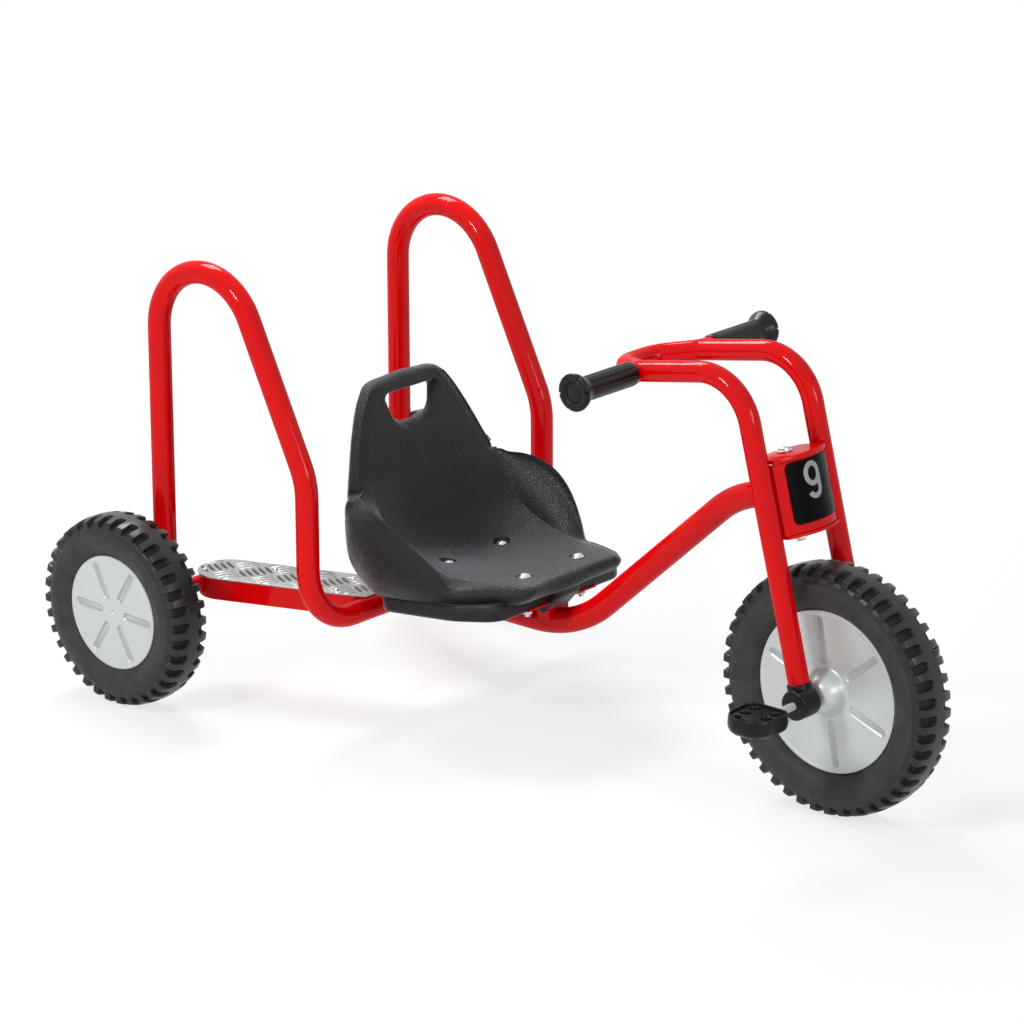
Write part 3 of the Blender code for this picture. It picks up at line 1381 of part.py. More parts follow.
def pivot():
    """The bolt that the fork turns on, through both plates and the head tube."""
    half = HEAD_BOX_HALF_HEIGHT
    head = PIVOT_HEAD_RADIUS
    shank = PIVOT_BOLT_RADIUS
    nut_height = 0.008
    profile = [
        (0, half + SEAT_GAP + PIVOT_HEAD_HEIGHT),
        (head * 0.62, half + SEAT_GAP + PIVOT_HEAD_HEIGHT * 0.85),
        (head, half + SEAT_GAP + 0.001),
        (head, half + SEAT_GAP),
        (shank, half + SEAT_GAP),
        (shank, -half - nut_height - 0.004),
        (0, -half - nut_height - 0.004),
    ]
    bolt = turned("pivot_bolt", profile, zinc(), (0, 0, 0), SMALL_STEPS, closed=False)
    bolt.rotation_euler = STEER_FRAME.to_euler()
    bolt.location = STEER_POINT
    nut = cylinder_mesh(
        "pivot_nut",
        STEER_POINT - STEER_UP * (half + SEAT_GAP + nut_height),
        STEER_POINT - STEER_UP * (half + SEAT_GAP),
        0.0105,
        6,
    )
    nut_obj = add_mesh("pivot_nut", nut, zinc(), 30.0)
    thread = cylinder_mesh(
        "pivot_nut.thread",
        STEER_POINT - STEER_UP * (half + 0.03),
        STEER_POINT - STEER_UP * (half - 0.01),
        shank + SEAT_GAP,
        SMALL_STEPS,
    )
    boolean(nut_obj, add_cutter("pivot_nut.thread", thread))


def bearing_blocks():
    """Each plastic barrel is two halves clamped on the axle, with a socket for the leg's foot."""
    for label, side in SIDES:
        corners = fork_leg_corners(side)
        foot = corners[0]
        along = (corners[1] - foot).normalized()
        socket_low = foot - along * SEAT_GAP
        barrel = [
            (FRONT_AXLE_RADIUS + RUNNING_GAP, BLOCK_OUTER_Y),
            (BLOCK_RADIUS - 0.002, BLOCK_OUTER_Y),
            (BLOCK_RADIUS, BLOCK_OUTER_Y - 0.002),
            (BLOCK_RADIUS, BLOCK_INNER_Y + 0.006),
            (BLOCK_RADIUS - 0.002, BLOCK_INNER_Y + 0.002),
            (BLOCK_RADIUS - 0.006, BLOCK_INNER_Y),
            (FRONT_AXLE_RADIUS + RUNNING_GAP, BLOCK_INNER_Y),
        ]
        for place, forward in (("front", 1), ("rear", -1)):
            name = f"bearing_half_{place}_{label}"
            block = turned(
                name, [(r, side * y) for r, y in barrel], black_plastic(), FRONT_AXLE, 14, flip=side < 0
            )
            collar = cylinder_mesh(
                f"{name}.collar",
                foot,
                foot + along * (COLLAR_RISE - FORK_FOOT_ABOVE_AXLE),
                FORK_TUBE_RADIUS + SEAT_GAP + COLLAR_WALL,
            )
            boolean(block, add_cutter(f"{name}.collar", collar), "UNION")
            # The halves part on a plane through the axle that leans with the leg.
            ends = sorted((-forward * 3 * BLOCK_RADIUS, forward * BLOCK_SPLIT / 2))
            split = box_mesh(
                f"{name}.split",
                (ends[0], -BLOCK_OUTER_Y * 1.2, -3 * BLOCK_RADIUS),
                (ends[1], BLOCK_OUTER_Y * 1.2, 3 * BLOCK_RADIUS),
                frame_matrix(FRONT_AXLE, STEER_FORWARD, Vector((0, 1, 0)), STEER_UP),
            )
            boolean(block, add_cutter(f"{name}.split", split))
            socket = cylinder_mesh(
                f"{name}.socket",
                socket_low,
                foot + along * 0.05,
                FORK_TUBE_RADIUS + FORK_SOCKET_GAP,
            )
            boolean(block, add_cutter(f"{name}.socket", socket))


def pedals():
    """Foot pedals that turn freely on the axle's ends: a rounded block with a sunk, holed tread."""
    half_x = PEDAL_WIDTH / 2
    half_z = PEDAL_THICKNESS / 2
    for label, side in SIDES:
        inner = PEDAL_INNER_Y
        outer = PEDAL_INNER_Y + PEDAL_LENGTH
        corners = [(-half_x, inner), (-half_x, outer), (half_x, outer), (half_x, inner)]
        radii = [PEDAL_INNER_CORNER, PEDAL_OUTER_CORNER, PEDAL_OUTER_CORNER, PEDAL_INNER_CORNER]
        outline = [(x, side * y) for x, y in rounded_outline(corners, radii, 3)]
        place = Matrix.Translation(FRONT_AXLE)
        name = f"pedal_{label}"
        pedal = add_mesh(
            name, slab_mesh(name, outline, -half_z, half_z, place, 0.0012), black_plastic(), 40.0
        )
        tray_corners = [
            (-half_x + PEDAL_RIM, inner + PEDAL_RIM),
            (-half_x + PEDAL_RIM, outer - PEDAL_RIM),
            (half_x - PEDAL_RIM, outer - PEDAL_RIM),
            (half_x - PEDAL_RIM, inner + PEDAL_RIM),
        ]
        tray_outline = [
            (x, side * y)
            for x, y in rounded_outline(tray_corners, [r - PEDAL_RIM for r in radii], 3)
        ]
        for level, low, high in (
            ("top", half_z - PEDAL_TRAY_DEPTH, half_z + 0.01),
            ("bottom", -half_z - 0.01, -half_z + PEDAL_TRAY_DEPTH),
        ):
            tray = slab_mesh(f"{name}.tray_{level}", tray_outline, low, high, place)
            boolean(pedal, add_cutter(f"{name}.tray_{level}", tray))
        shape = bmesh.new()
        middle = inner + PEDAL_LENGTH / 2
        for across in (-1, 1):
            for along in (-1, 0, 1):
                hole = bmesh.ops.create_cone(
                    shape,
                    cap_ends=True,
                    segments=6,
                    radius1=PEDAL_HOLE_RADIUS,
                    radius2=PEDAL_HOLE_RADIUS,
                    depth=0.04,
                )["verts"]
                at = (across * PEDAL_ROW_SPACING / 2, side * (middle + along * PEDAL_HOLE_PITCH), 0)
                bmesh.ops.translate(shape, vec=at, verts=hole)
        bmesh.ops.translate(shape, vec=FRONT_AXLE, verts=shape.verts)
        boolean(pedal, add_cutter(f"{name}.holes", mesh_from_bmesh(f"{name}.holes", shape)))
        bore = cylinder_mesh(
            f"{name}.bore",
            FRONT_AXLE + Vector((0, side * (inner - 0.01), 0)),
            FRONT_AXLE + Vector((0, side * (outer + 0.01), 0)),
            FRONT_AXLE_RADIUS + RUNNING_GAP,
        )
        boolean(pedal, add_cutter(f"{name}.bore", bore))
        # A slot in the outer end leaves room for the nut that keeps the pedal on.
        half_slot = PEDAL_SLOT_WIDTH / 2
        slot_ends = sorted((side * (outer - PEDAL_SLOT_DEPTH), side * (outer + 0.01)))
        slot = box_mesh(
            f"{name}.slot",
            (-half_slot, slot_ends[0], -half_z - 0.01),
            (half_slot, slot_ends[1], half_z + 0.01),
            place,
        )
        boolean(pedal, add_cutter(f"{name}.slot", slot))


def pedal_nuts():
    """Push nuts on the axle's ends, in the pedals' slots."""
    start = PEDAL_INNER_Y + PEDAL_LENGTH - PEDAL_SLOT_DEPTH + RUNNING_GAP
    for label, side in SIDES:
        name = f"pedal_nut_{label}"
        low = FRONT_AXLE + Vector((0, side * start, 0))
        high = low + Vector((0, side * PEDAL_NUT_LENGTH, 0))
        mesh = cylinder_mesh(name, low, high, FRONT_AXLE_RADIUS + PEDAL_NUT_WALL, 8)
        nut = add_mesh(name, mesh, zinc(), 30.0)
        beyond = Vector((0, side * 0.01, 0))
        bore = cylinder_mesh(
            f"{name}.bore", low - beyond, high + beyond, FRONT_AXLE_RADIUS + SEAT_GAP
        )
        boolean(nut, add_cutter(f"{name}.bore", bore))


# Joints

def add_empty(name, place, up=Vector((0, 0, 1)), parent=None):
    """An empty on a joint's axis, its Z along up, that carries what turns there."""
    empty = bpy.data.objects.new(name, None)
    empty.empty_display_size = EMPTY_SIZE
    PARTS.objects.link(empty)
    turn = up.to_track_quat("Z", "Y").to_matrix().to_4x4()
    world = Matrix.Translation(place) @ turn
    if parent:
        hang(empty, parent)
    empty.matrix_world = world
    bpy.context.view_layer.update()
    return empty


def hang(obj, parent):
    """Makes parent carry obj and leaves obj where it is."""
    obj.parent = parent
    obj.matrix_parent_inverse = parent.matrix_world.inverted()


def joints():
    """Each moving group hangs from an empty on its own axis; the fork carries the front wheel."""
    steering = add_empty("steering", STEER_POINT, STEER_UP)
    sideways = Vector((0, 1, 0))
    front = add_empty("front_wheel_spin", FRONT_AXLE, sideways, steering)
    fork_names = ["handlebar", "head_panel", "head_top_plate", "head_bottom_plate", "number_plate"]
    fork_names += ["pivot_bolt", "pivot_nut"]
    front_names = ["front_axle", "front_tyre", "front_hub"]
    for label, side in SIDES:
        fork_names += [f"fork_leg_{label}", f"grip_{label}"]
        fork_names += [f"bearing_half_front_{label}", f"bearing_half_rear_{label}"]
        front_names += [f"front_disc_{label}", f"pedal_nut_{label}"]
        pedal_place = FRONT_AXLE + Vector((0, side * (PEDAL_INNER_Y + PEDAL_LENGTH / 2), 0))
        pedal = add_empty(f"pedal_spin_{label}", pedal_place, sideways, front)
        hang(bpy.data.objects[f"pedal_{label}"], pedal)
        wheel_place = Vector((REAR_AXLE_X, side * REAR_TRACK / 2, REAR_TYRE_RADIUS))
        wheel = add_empty(f"rear_wheel_spin_{label}", wheel_place, sideways)
        for piece in ("rear_tyre", "rear_disc_inner", "rear_disc_outer", "rear_hub"):
            hang(bpy.data.objects[f"{piece}_{label}"], wheel)
    for names, parent in ((fork_names, steering), (front_names, front)):
        for name in names:
            hang(bpy.data.objects[name], parent)


def build():
    front_wheel()
    rear_wheels()
    grab_loops()
    cross_tube()
    backbone()
    head_tube()
    footboards()
    rear_axles()
    seat()
    seat_bolts()
    seat_brackets()
    fork()
    grips()
    head_box()
    number_plate()
    pivot()
    bearing_blocks()
    pedals()
    pedal_nuts()
    joints()


clear_scene()
PARTS = new_collection("Kids ride-on kart")
CUTTERS = new_collection("Cutters", hidden=True)
build()
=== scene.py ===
"""Looks of the kids ride-on kart: a steel tricycle with a bucket seat and two grab loops.

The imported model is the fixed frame. Each operator makes one piece, or a group of like pieces,
from surfaces worked out with numpy. Lengths are in metres, +X is forward, +Y is left and the
ground is z = 0.
"""

import json
import math
from itertools import accumulate

import bmesh
import bpy
import numpy as np
from bpy.props import FloatProperty, FloatVectorProperty, IntProperty, PointerProperty
from mathutils import Matrix


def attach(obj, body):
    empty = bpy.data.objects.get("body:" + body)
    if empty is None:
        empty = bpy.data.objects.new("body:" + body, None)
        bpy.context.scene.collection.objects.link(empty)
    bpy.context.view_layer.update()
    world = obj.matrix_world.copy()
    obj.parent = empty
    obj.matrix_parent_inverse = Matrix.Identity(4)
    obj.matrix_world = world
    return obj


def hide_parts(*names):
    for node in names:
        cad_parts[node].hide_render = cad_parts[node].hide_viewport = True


bl_info = {
    "name": "Kids ride-on kart",
    "version": (1, 0, 0),
    "blender": (4, 5, 0),
    "location": "3D View > Sidebar > Ride-on kart",
    "description": "Dresses the packed frame of a three-wheeled kart for two children",
    "category": "Add Mesh",
}

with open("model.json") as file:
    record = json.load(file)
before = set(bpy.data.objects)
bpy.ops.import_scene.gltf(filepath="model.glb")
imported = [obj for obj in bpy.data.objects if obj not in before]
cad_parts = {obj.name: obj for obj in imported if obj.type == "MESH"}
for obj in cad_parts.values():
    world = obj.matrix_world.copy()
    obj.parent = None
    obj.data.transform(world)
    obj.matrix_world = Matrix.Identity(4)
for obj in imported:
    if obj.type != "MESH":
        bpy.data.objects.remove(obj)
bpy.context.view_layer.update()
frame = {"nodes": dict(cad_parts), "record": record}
BODY_OF = {
    node: body for body, nodes in frame["record"]["behaviour"]["bodies"].items() for node in nodes
}

FORWARD = np.array([1.0, 0.0, 0.0])
LEFTWARD = np.array([0.0, 1.0, 0.0])
UPWARD = np.array([0.0, 0.0, 1.0])
LEVEL_AXES = (FORWARD, LEFTWARD, UPWARD)
AXLE_AXES = (UPWARD, FORWARD, LEFTWARD)
SIDES = (("left", 1.0), ("right", -1.0))

# Wheels. A face is how far a disc lies from its wheel's middle plane.
REAR_AXLE_X = -0.484
REAR_HALF_TRACK = 0.303
REAR_TYRE_RADIUS = 0.128
REAR_RIM_RADIUS = 0.070
REAR_FACE = 0.0225
FRONT_AXLE = np.array([0.452, 0.0, 0.160])
FRONT_TYRE_RADIUS = 0.160
FRONT_RIM_RADIUS = 0.0975
FRONT_FACE = 0.0175
RIM_FLANGE = 0.0065
LUG_DEPTH = 0.0068
SIDE_DEPTH = 0.0195  # below the lugs, where the tyre's duller side begins
GROOVE_HALF_WIDTH = 0.0064
REAR_TYRE_TRIM = 0.00014  # keeps the rear tyres inside the solids' box

# Frame
LOOP_Y = 0.2268
LOOP_TOP = 0.581
LOOP_TOP_RADIUS = 0.0862
LOOP_SLOPE = math.radians(26.2)
LOOP_ELBOW_RADIUS = 0.100
LOOP_FOOT_RADIUS = 0.080
LOOP_FRONT_X = REAR_AXLE_X + 0.260
CROSS_Z = 0.139
CROSS_HALF = LOOP_Y - LOOP_FOOT_RADIUS - 0.004
BACKBONE_SLOPE = math.radians(42.1)
BACKBONE_KNEE = np.array([REAR_AXLE_X + 0.516, 0.0, CROSS_Z])
HEAD_PIPE_RADIUS = 0.0175
HEAD_PIPE_HALF = 0.0447

# Footboards, seen from above: the middle of the round rear end and the board's two directions
BOARD_REAR = np.array([REAR_AXLE_X + 0.049, 0.161])
BOARD_TOE = math.radians(20.7)
BOARD_AHEAD = np.array([math.cos(BOARD_TOE), -math.sin(BOARD_TOE)])
BOARD_OUTWARD = np.array([math.sin(BOARD_TOE), math.cos(BOARD_TOE)])
BOARD_RADIUS = 0.040
BOARD_TOP = 0.1563
BOARD_FRONT = 0.262  # ahead of the rear axle
BOARD_SCREWS = (
    (0.0277, 0.1826), (0.0965, 0.1202), (0.1083, 0.1633), (0.2005, 0.0806), (0.2152, 0.1284),
)
BAR_LATTICE = math.radians(26.0)
BAR_PITCH = 0.0091
BAR_GROUP_PITCH = 0.0393
BAR_HALF_LENGTH = 0.0158
BAR_HALF_WIDTH = 0.0036
BAR_HEIGHT = 0.0013
BAR_FRONT = 0.2605  # ahead of the rear axle
BAR_MARGIN = 0.002  # the strip along the plate's edge in which the bars fade out
FIRST_BARS = np.array([REAR_AXLE_X + 0.0853, 0.1449])

# Seat. Its bolts stand in two rows: place, distance ahead of the rear axle, lift.
PAN_SLOPE = math.radians(6.5)
PAN_AXES = (
    np.array([math.cos(PAN_SLOPE), 0.0, math.sin(PAN_SLOPE)]),
    LEFTWARD,
    np.array([-math.sin(PAN_SLOPE), 0.0, math.cos(PAN_SLOPE)]),
)
PAN_HEIGHT = 0.201  # at the rear bolts
REAR_BOLT_X = 0.343
FRONT_BOLT_X = 0.474
BOLT_HALF_SPACING = 0.052
BOLT_ROWS = (("rear", REAR_BOLT_X, 0.003), ("front", FRONT_BOLT_X, 0.0))

# Steering
RAKE = math.radians(14.5)
STEER_UP = np.array([-math.sin(RAKE), 0.0, math.cos(RAKE)])
STEER_FORWARD = np.array([math.cos(RAKE), 0.0, math.sin(RAKE)])
STEER_AXES = (STEER_FORWARD, LEFTWARD, STEER_UP)
STEER_POINT = np.array([REAR_AXLE_X + 0.864, 0.0, 0.397])
FORK_Y = 0.0614
FORK_TOP = 0.557
ARM_FALL = math.tan(math.radians(10.5))
HANDLEBAR_X = REAR_AXLE_X + 0.671
HANDLEBAR_HALF = 0.1815
HEAD_HALF_WIDTH = 0.051
HEAD_BULGE = 0.019
PLATE_BACK = 0.0209  # how far the number plate's back stands ahead of the head's middle, at its ends
PLATE_CORNER = 0.007

# The photograph's camera. Its focal length is in picture elements, and the picture is square.
VIEW_TURN, VIEW_RISE, VIEW_ROLL = (math.radians(angle) for angle in (41.59, 18.32, -0.22))
VIEW_TARGET = np.array([-0.0759, 0.0, 0.2724])
VIEW_DISTANCE = 6.0903
VIEW_FOCAL = 4730.23
PICTURE_SIDE = 1024
SENSOR_WIDTH = 36


# Arrays and surfaces

def unit(v):
    """Each vector of an array, made one long."""
    return v / np.linalg.norm(v, axis=-1, keepdims=True)


def full_turn(steps):
    """The angles of a full turn in even steps: 2 pi k / steps."""
    return 2 * np.pi * np.arange(steps) / steps


def capped(rows):
    """Rows of points with a pole at each end: the mean of the first and of the last row."""
    first, last = (np.tile(row.mean(axis=0), (1, len(row), 1)) for row in (rows[0], rows[-1]))
    return np.concatenate([first, rows, last])


def grid_quads(rows, cols, round_rows=False, round_cols=False):
    """Faces between neighbouring rows and columns; a round way joins its end to its start."""
    index = np.arange(rows * cols).reshape(rows, cols)
    if round_rows:
        index = np.concatenate([index, index[:1]])
    if round_cols:
        index = np.concatenate([index, index[:, :1]], axis=1)
    corners = [index[:-1, :-1], index[:-1, 1:], index[1:, 1:], index[1:, :-1]]
    return np.stack(corners, axis=-1).reshape(-1, 4)


def surface(points, round_rows=False, round_cols=False):
    """A grid of points, rows by columns, as a shape: its points and its faces."""
    rows, cols = points.shape[:2]
    return points.reshape(-1, 3), grid_quads(rows, cols, round_rows, round_cols)


def together(*shapes):
    """Several shapes as one: each one's faces count on from the points before it."""
    starts = np.cumsum([0] + [len(points) for points, _ in shapes[:-1]])
    points = np.concatenate([points for points, _ in shapes])
    return points, np.concatenate([quads + start for (_, quads), start in zip(shapes, starts)])


def rounded_path(corners, radii, step_deg=3.0):
    """Straight runs with round corners. An arc's points are centre + cos(a) start + sin(a) travel."""
    corners = np.asarray(corners, float)
    runs = [corners[:1]]
    for before, corner, after, radius in zip(corners, corners[1:], corners[2:], radii):
        back, ahead = unit(before - corner), unit(after - corner)
        turn = np.pi - np.arccos(np.clip(back @ ahead, -1, 1))
        start = corner + back * radius * np.tan(turn / 2)
        centre = corner + unit(back + ahead) * radius / np.cos(turn / 2)
        count = max(3, int(np.degrees(turn) / step_deg) + 1)
        angle = np.linspace(0, turn, count)[:, None]
        runs.append(centre + np.cos(angle) * (start - centre) - np.sin(angle) * radius * back)
    runs.append(corners[-1:])
    path = np.concatenate(runs)
    apart = np.linalg.norm(np.diff(path, axis=0), axis=1) > 1e-7
    return path[np.concatenate([[True], apart])]


def rounded_outline(corners, radii, step_deg=6.0):
    """A closed outline through corners, each rounded by its radius."""
    corners = [list(corner) for corner in corners]
    return rounded_path([corners[-1], *corners, corners[0]], radii, step_deg)[1:-1]


def frames_along(path, hint=LEFTWARD):
    """Travel, normal and binormal at each place of a path; the normal goes along without twist."""
    runs = unit(np.diff(path, axis=0))
    travel = unit(np.concatenate([runs[:1], runs[:-1] + runs[1:], runs[-1:]]))
    first = unit(hint - travel[0] * (hint @ travel[0]))
    carried = accumulate(travel[1:], lambda n, t: unit(n - t * (n @ t)), initial=first)
    normal = np.array(list(carried))
    return travel, normal, np.cross(travel, normal)


def tube(path, radius, sides=48, hint=LEFTWARD, rim=0.0008):
    """A round bar: path(s) + r(s) (cos a normal + sin a binormal), with r going to 0 past its rims."""
    travel, normal, binormal = frames_along(path, hint)
    last = len(path) - 1
    places = np.concatenate([[0, 0, 0], np.arange(1, last), [last, last, last]])
    shift = np.zeros(len(places))
    shift[2], shift[-3] = rim, -rim
    centre = path[places] + travel[places] * shift[:, None]
    reach = np.full(len(places), radius)
    reach[[0, -1]] = 0.0
    reach[[1, -2]] = radius - rim
    angle = full_turn(sides)[:, None]
    ring = np.cos(angle) * normal[places][:, None] + np.sin(angle) * binormal[places][:, None]
    return surface(centre[:, None] + reach[:, None, None] * ring, round_cols=True)


def turned(radii, along, centre, steps=72, axes=AXLE_AXES, closed=False):
    """A profile turned about the third axis: centre + y axis + r (cos a first + sin a second).

    radii and along are one number a profile place, or one for each place and each angle."""
    angle = full_turn(steps)
    radii, along = np.asarray(radii, float), np.asarray(along, float)
    radii = radii if radii.ndim == 2 else np.repeat(radii[:, None], steps, axis=1)
    along = along if along.ndim == 2 else np.repeat(along[:, None], steps, axis=1)
    first, second, third = (np.asarray(axis, float) for axis in axes)
    ring = np.cos(angle)[:, None] * first + np.sin(angle)[:, None] * second
    points = centre + along[..., None] * third + radii[..., None] * ring
    return surface(points, round_rows=closed, round_cols=True)


def lathe(corners, radii, centre, axes=AXLE_AXES, steps=40, step_deg=20, side=1.0, closed=False):
    """A profile of (radius, height) corners with rounded bends, turned about the third axis."""
    profile = rounded_path(corners, radii, step_deg)
    return turned(profile[:, 0], profile[:, 1] * side, centre, steps, axes, closed)


def stacked(outline, levels, axes=LEVEL_AXES, origin=(0.0, 0.0, 0.0)):
    """Copies of a flat outline, each moved in by an inset and lifted, closed to a pole at both ends."""
    outline = np.asarray(outline, float)
    ahead, behind = np.roll(outline, -1, axis=0), np.roll(outline, 1, axis=0)
    area = np.sum(outline[:, 0] * ahead[:, 1] - ahead[:, 0] * outline[:, 1])
    along = unit(ahead - behind)
    inward = np.stack([-along[:, 1], along[:, 0]], axis=1) * np.sign(area)
    rows = [outline + inward * inset for inset, _ in levels]
    heights = [height for _, height in levels]
    middle = outline.mean(axis=0)
    rows = [np.tile(middle, (len(outline), 1)), *rows, np.tile(middle, (len(outline), 1))]
    heights = [heights[0], *heights, heights[-1]]
    flat, heights = np.array(rows), np.array(heights)
    first, second, third = (np.asarray(axis, float) for axis in axes)
    points = np.asarray(origin, float) + flat[..., :1] * first + flat[..., 1:] * second
    return surface(points + heights[:, None, None] * third, round_cols=True)


def slab_levels(low, high, edge):
    """Levels of a slab whose upper and lower edges are rounded in a quarter circle."""
    angle = np.linspace(0, np.pi / 2, 4)
    inset = edge * (1 - np.sin(angle))
    lower = list(zip(inset, low + edge * (1 - np.cos(angle))))
    upper = list(zip(inset[::-1], high - edge * (1 - np.cos(angle[::-1]))))
    return lower + upper


def smooth_through(places, steps, closed=False):
    """Cubic curves through rows of points, from slopes weighed by the square roots of the gaps."""
    padded = places if not closed else np.concatenate([places[-2:], places, places[:3]])
    gap = np.sqrt(np.maximum(np.linalg.norm(np.diff(padded, axis=0), axis=-1, keepdims=True), 1e-9))
    rate = np.diff(padded, axis=0) / gap
    inner = (rate[:-1] * gap[1:] + rate[1:] * gap[:-1]) / (gap[1:] + gap[:-1])
    slope = np.concatenate([rate[:1], inner, rate[-1:]])
    t = (np.arange(steps) / steps).reshape((1, steps) + (1,) * (places.ndim - 1))
    start, end = padded[:-1, None], padded[1:, None]
    ahead, after = (slope[:-1] * gap)[:, None], (slope[1:] * gap)[:, None]
    curve = (
        (2 * t**3 - 3 * t**2 + 1) * start
        + (t**3 - 2 * t**2 + t) * ahead
        + (3 * t**2 - 2 * t**3) * end
        + (t**3 - t**2) * after
    )
    if closed:
        curve = curve[2:-2]
    curve = curve.reshape((-1,) + places.shape[1:])
    return curve if closed else np.concatenate([curve, places[-1:]])


# Pieces

def add_object(name, data):
    """An object in the scene, at the origin."""
    made = bpy.data.objects.new(name, data)
    bpy.context.scene.collection.objects.link(made)
    return made


def close_up(mesh, join_flat=False):
    """Merges doubled points and turns the faces outwards. join_flat also joins level faces."""
    closing = bmesh.new()
    closing.from_mesh(mesh)
    bmesh.ops.remove_doubles(closing, verts=closing.verts, dist=1e-6)
    bmesh.ops.recalc_face_normals(closing, faces=closing.faces)
    if join_flat:
        flat = [e for e in closing.edges if e.is_manifold and e.calc_face_angle() < math.radians(1)]
        bmesh.ops.dissolve_edges(closing, edges=flat, use_verts=False)
    closing.to_mesh(mesh)
    closing.free()


def shade(mesh, crease):
    """Smooth faces, with a sharp edge wherever they meet at more than the crease's degrees."""
    mesh.polygons.foreach_set("use_smooth", np.ones(len(mesh.polygons), bool))
    mesh.set_sharp_from_angle(angle=math.radians(crease))


def put(name, shape, material, stands_for=(), crease=35.0, body=None):
    """Makes the piece's mesh, closes its poles and seams, and sets it on the body of its node."""
    points, quads = shape
    mesh = bpy.data.meshes.new(name)
    mesh.vertices.add(len(points))
    mesh.vertices.foreach_set("co", points.astype(np.float32).ravel())
    mesh.loops.add(quads.size)
    mesh.loops.foreach_set("vertex_index", quads.astype(np.int32).ravel())
    mesh.polygons.add(len(quads))
    mesh.polygons.foreach_set("loop_start", np.arange(0, quads.size, 4, dtype=np.int32))
    mesh.update(calc_edges=True)
    close_up(mesh)
    piece = add_object(name, mesh)
    mesh.materials.append(material)
    shade(mesh, crease)
    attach(piece, body or BODY_OF[stands_for[0]])
    if stands_for:
        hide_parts(*stands_for)
    return piece


def cut(piece, shape, crease=40.0):
    """Takes a closed shape out of a piece for good."""
    tool = put(f"{piece.name}_tool", shape, piece.data.materials[0], body="frame")
    modifier = piece.modifiers.new("Cut", "BOOLEAN")
    modifier.operation = "DIFFERENCE"
    modifier.solver = "EXACT"
    modifier.object = tool
    bpy.context.view_layer.update()
    shown = piece.evaluated_get(bpy.context.evaluated_depsgraph_get())
    result = bpy.data.meshes.new_from_object(shown)
    piece.modifiers.clear()
    old = piece.data
    piece.data = result
    bpy.data.meshes.remove(old)
    bpy.data.objects.remove(tool)
    shade(piece.data, crease)


def softened(node, material, width=0.0008):
    """A copy of a small CAD node with merged corners and rounded edges, shown in its place."""
    mesh = frame["nodes"][node].data.copy()
    mesh.name = f"{node}_soft"
    close_up(mesh, join_flat=True)
    mesh.materials.clear()
    mesh.materials.append(material)
    piece = add_object(f"{node}_soft", mesh)
    bevel = piece.modifiers.new("Edges", "BEVEL")
    bevel.width = width
    bevel.segments = 2
    bevel.limit_method = "ANGLE"
    bevel.angle_limit = math.radians(30)
    shade(mesh, 30.0)
    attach(piece, BODY_OF[node])
    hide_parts(node)
    return piece


# Materials

def add_node(tree, kind, inputs=None, **settings):
    """A shader node with its settings. Its inputs are plain values or other nodes' outputs."""
    node = tree.nodes.new(f"ShaderNode{kind}")
    for name, value in settings.items():
        setattr(node, name, value)
    for key, value in (inputs or {}).items():
        if isinstance(value, bpy.types.NodeSocket):
            tree.links.new(value, node.inputs[key])
        else:
            node.inputs[key].default_value = value
    return node


def ramp(tree, value, low, high, to_low, to_high, **settings):
    """A value's way from low to high, as a way from to_low to to_high."""
    inputs = {"Value": value, "From Min": low, "From Max": high, "To Min": to_low, "To Max": to_high}
    return add_node(tree, "MapRange", inputs, **settings).outputs["Result"]


def tinted(tree, factor, first, second, name="Tint"):
    """The first colour, turned into the second as the factor rises to 1."""
    inputs = {"Factor": factor, "A": first, "B": second}
    return add_node(tree, "Mix", inputs, data_type="RGBA", name=name).outputs["Result"]


def look(
    name, colour, patch, patch_size, rough, metallic=0.0, bumps=(), coat=0.0, specular=0.5, sheen=0.0
):
    """A surface whose colour and roughness drift in soft patches, with a stack of fine bumps.

    bumps holds (kind, grain size, strength, height): noise, cells (rounded grains) or brushed."""
    if name in bpy.data.materials:
        return bpy.data.materials[name]
    material = bpy.data.materials.new(name)
    material.use_nodes = True
    tree = material.node_tree
    shader = tree.nodes["Principled BSDF"]
    constants = {
        "Metallic": metallic, "Specular IOR Level": specular, "Coat Weight": coat, "Coat Roughness": 0.05,
        "Sheen Weight": sheen, "Sheen Roughness": 0.24, "Sheen Tint": (0.86, 0.91, 1.0, 1),
    }
    for socket, value in constants.items():
        shader.inputs[socket].default_value = value
    place = add_node(tree, "TexCoord").outputs["Object"]
    patches = {"Vector": place, "Scale": 1 / patch_size, "Detail": 4.0, "Roughness": 0.6}
    drift = add_node(tree, "TexNoise", patches).outputs["Fac"]
    tree.links.new(tinted(tree, drift, (*colour, 1), (*patch, 1)), shader.inputs["Base Color"])
    tree.links.new(ramp(tree, drift, 0.3, 0.7, *rough), shader.inputs["Roughness"])
    normal = None
    for kind, size, strength, height in bumps:
        grain = {"Vector": place, "Scale": 1 / size}
        if kind == "brushed":
            stretch = add_node(tree, "Mapping", {"Vector": place, "Scale": (0.04, 1.0, 1.0)})
            grain["Vector"] = stretch.outputs["Vector"]
        if kind == "cells":
            grain["Smoothness"] = 0.4
            grain = add_node(tree, "TexVoronoi", grain, feature="SMOOTH_F1").outputs["Distance"]
        else:
            grain["Detail"] = 3.0
            grain = add_node(tree, "TexNoise", grain).outputs["Fac"]
        bump = {"Height": grain, "Strength": strength, "Distance": height}
        if normal:
            bump["Normal"] = normal
        normal = add_node(tree, "Bump", bump).outputs["Normal"]
    tree.links.new(normal, shader.inputs["Normal"])
    return material


def shades(colour, share):
    """A colour made darker or lighter: each of its parts times a share."""
    return [part * share for part in colour]


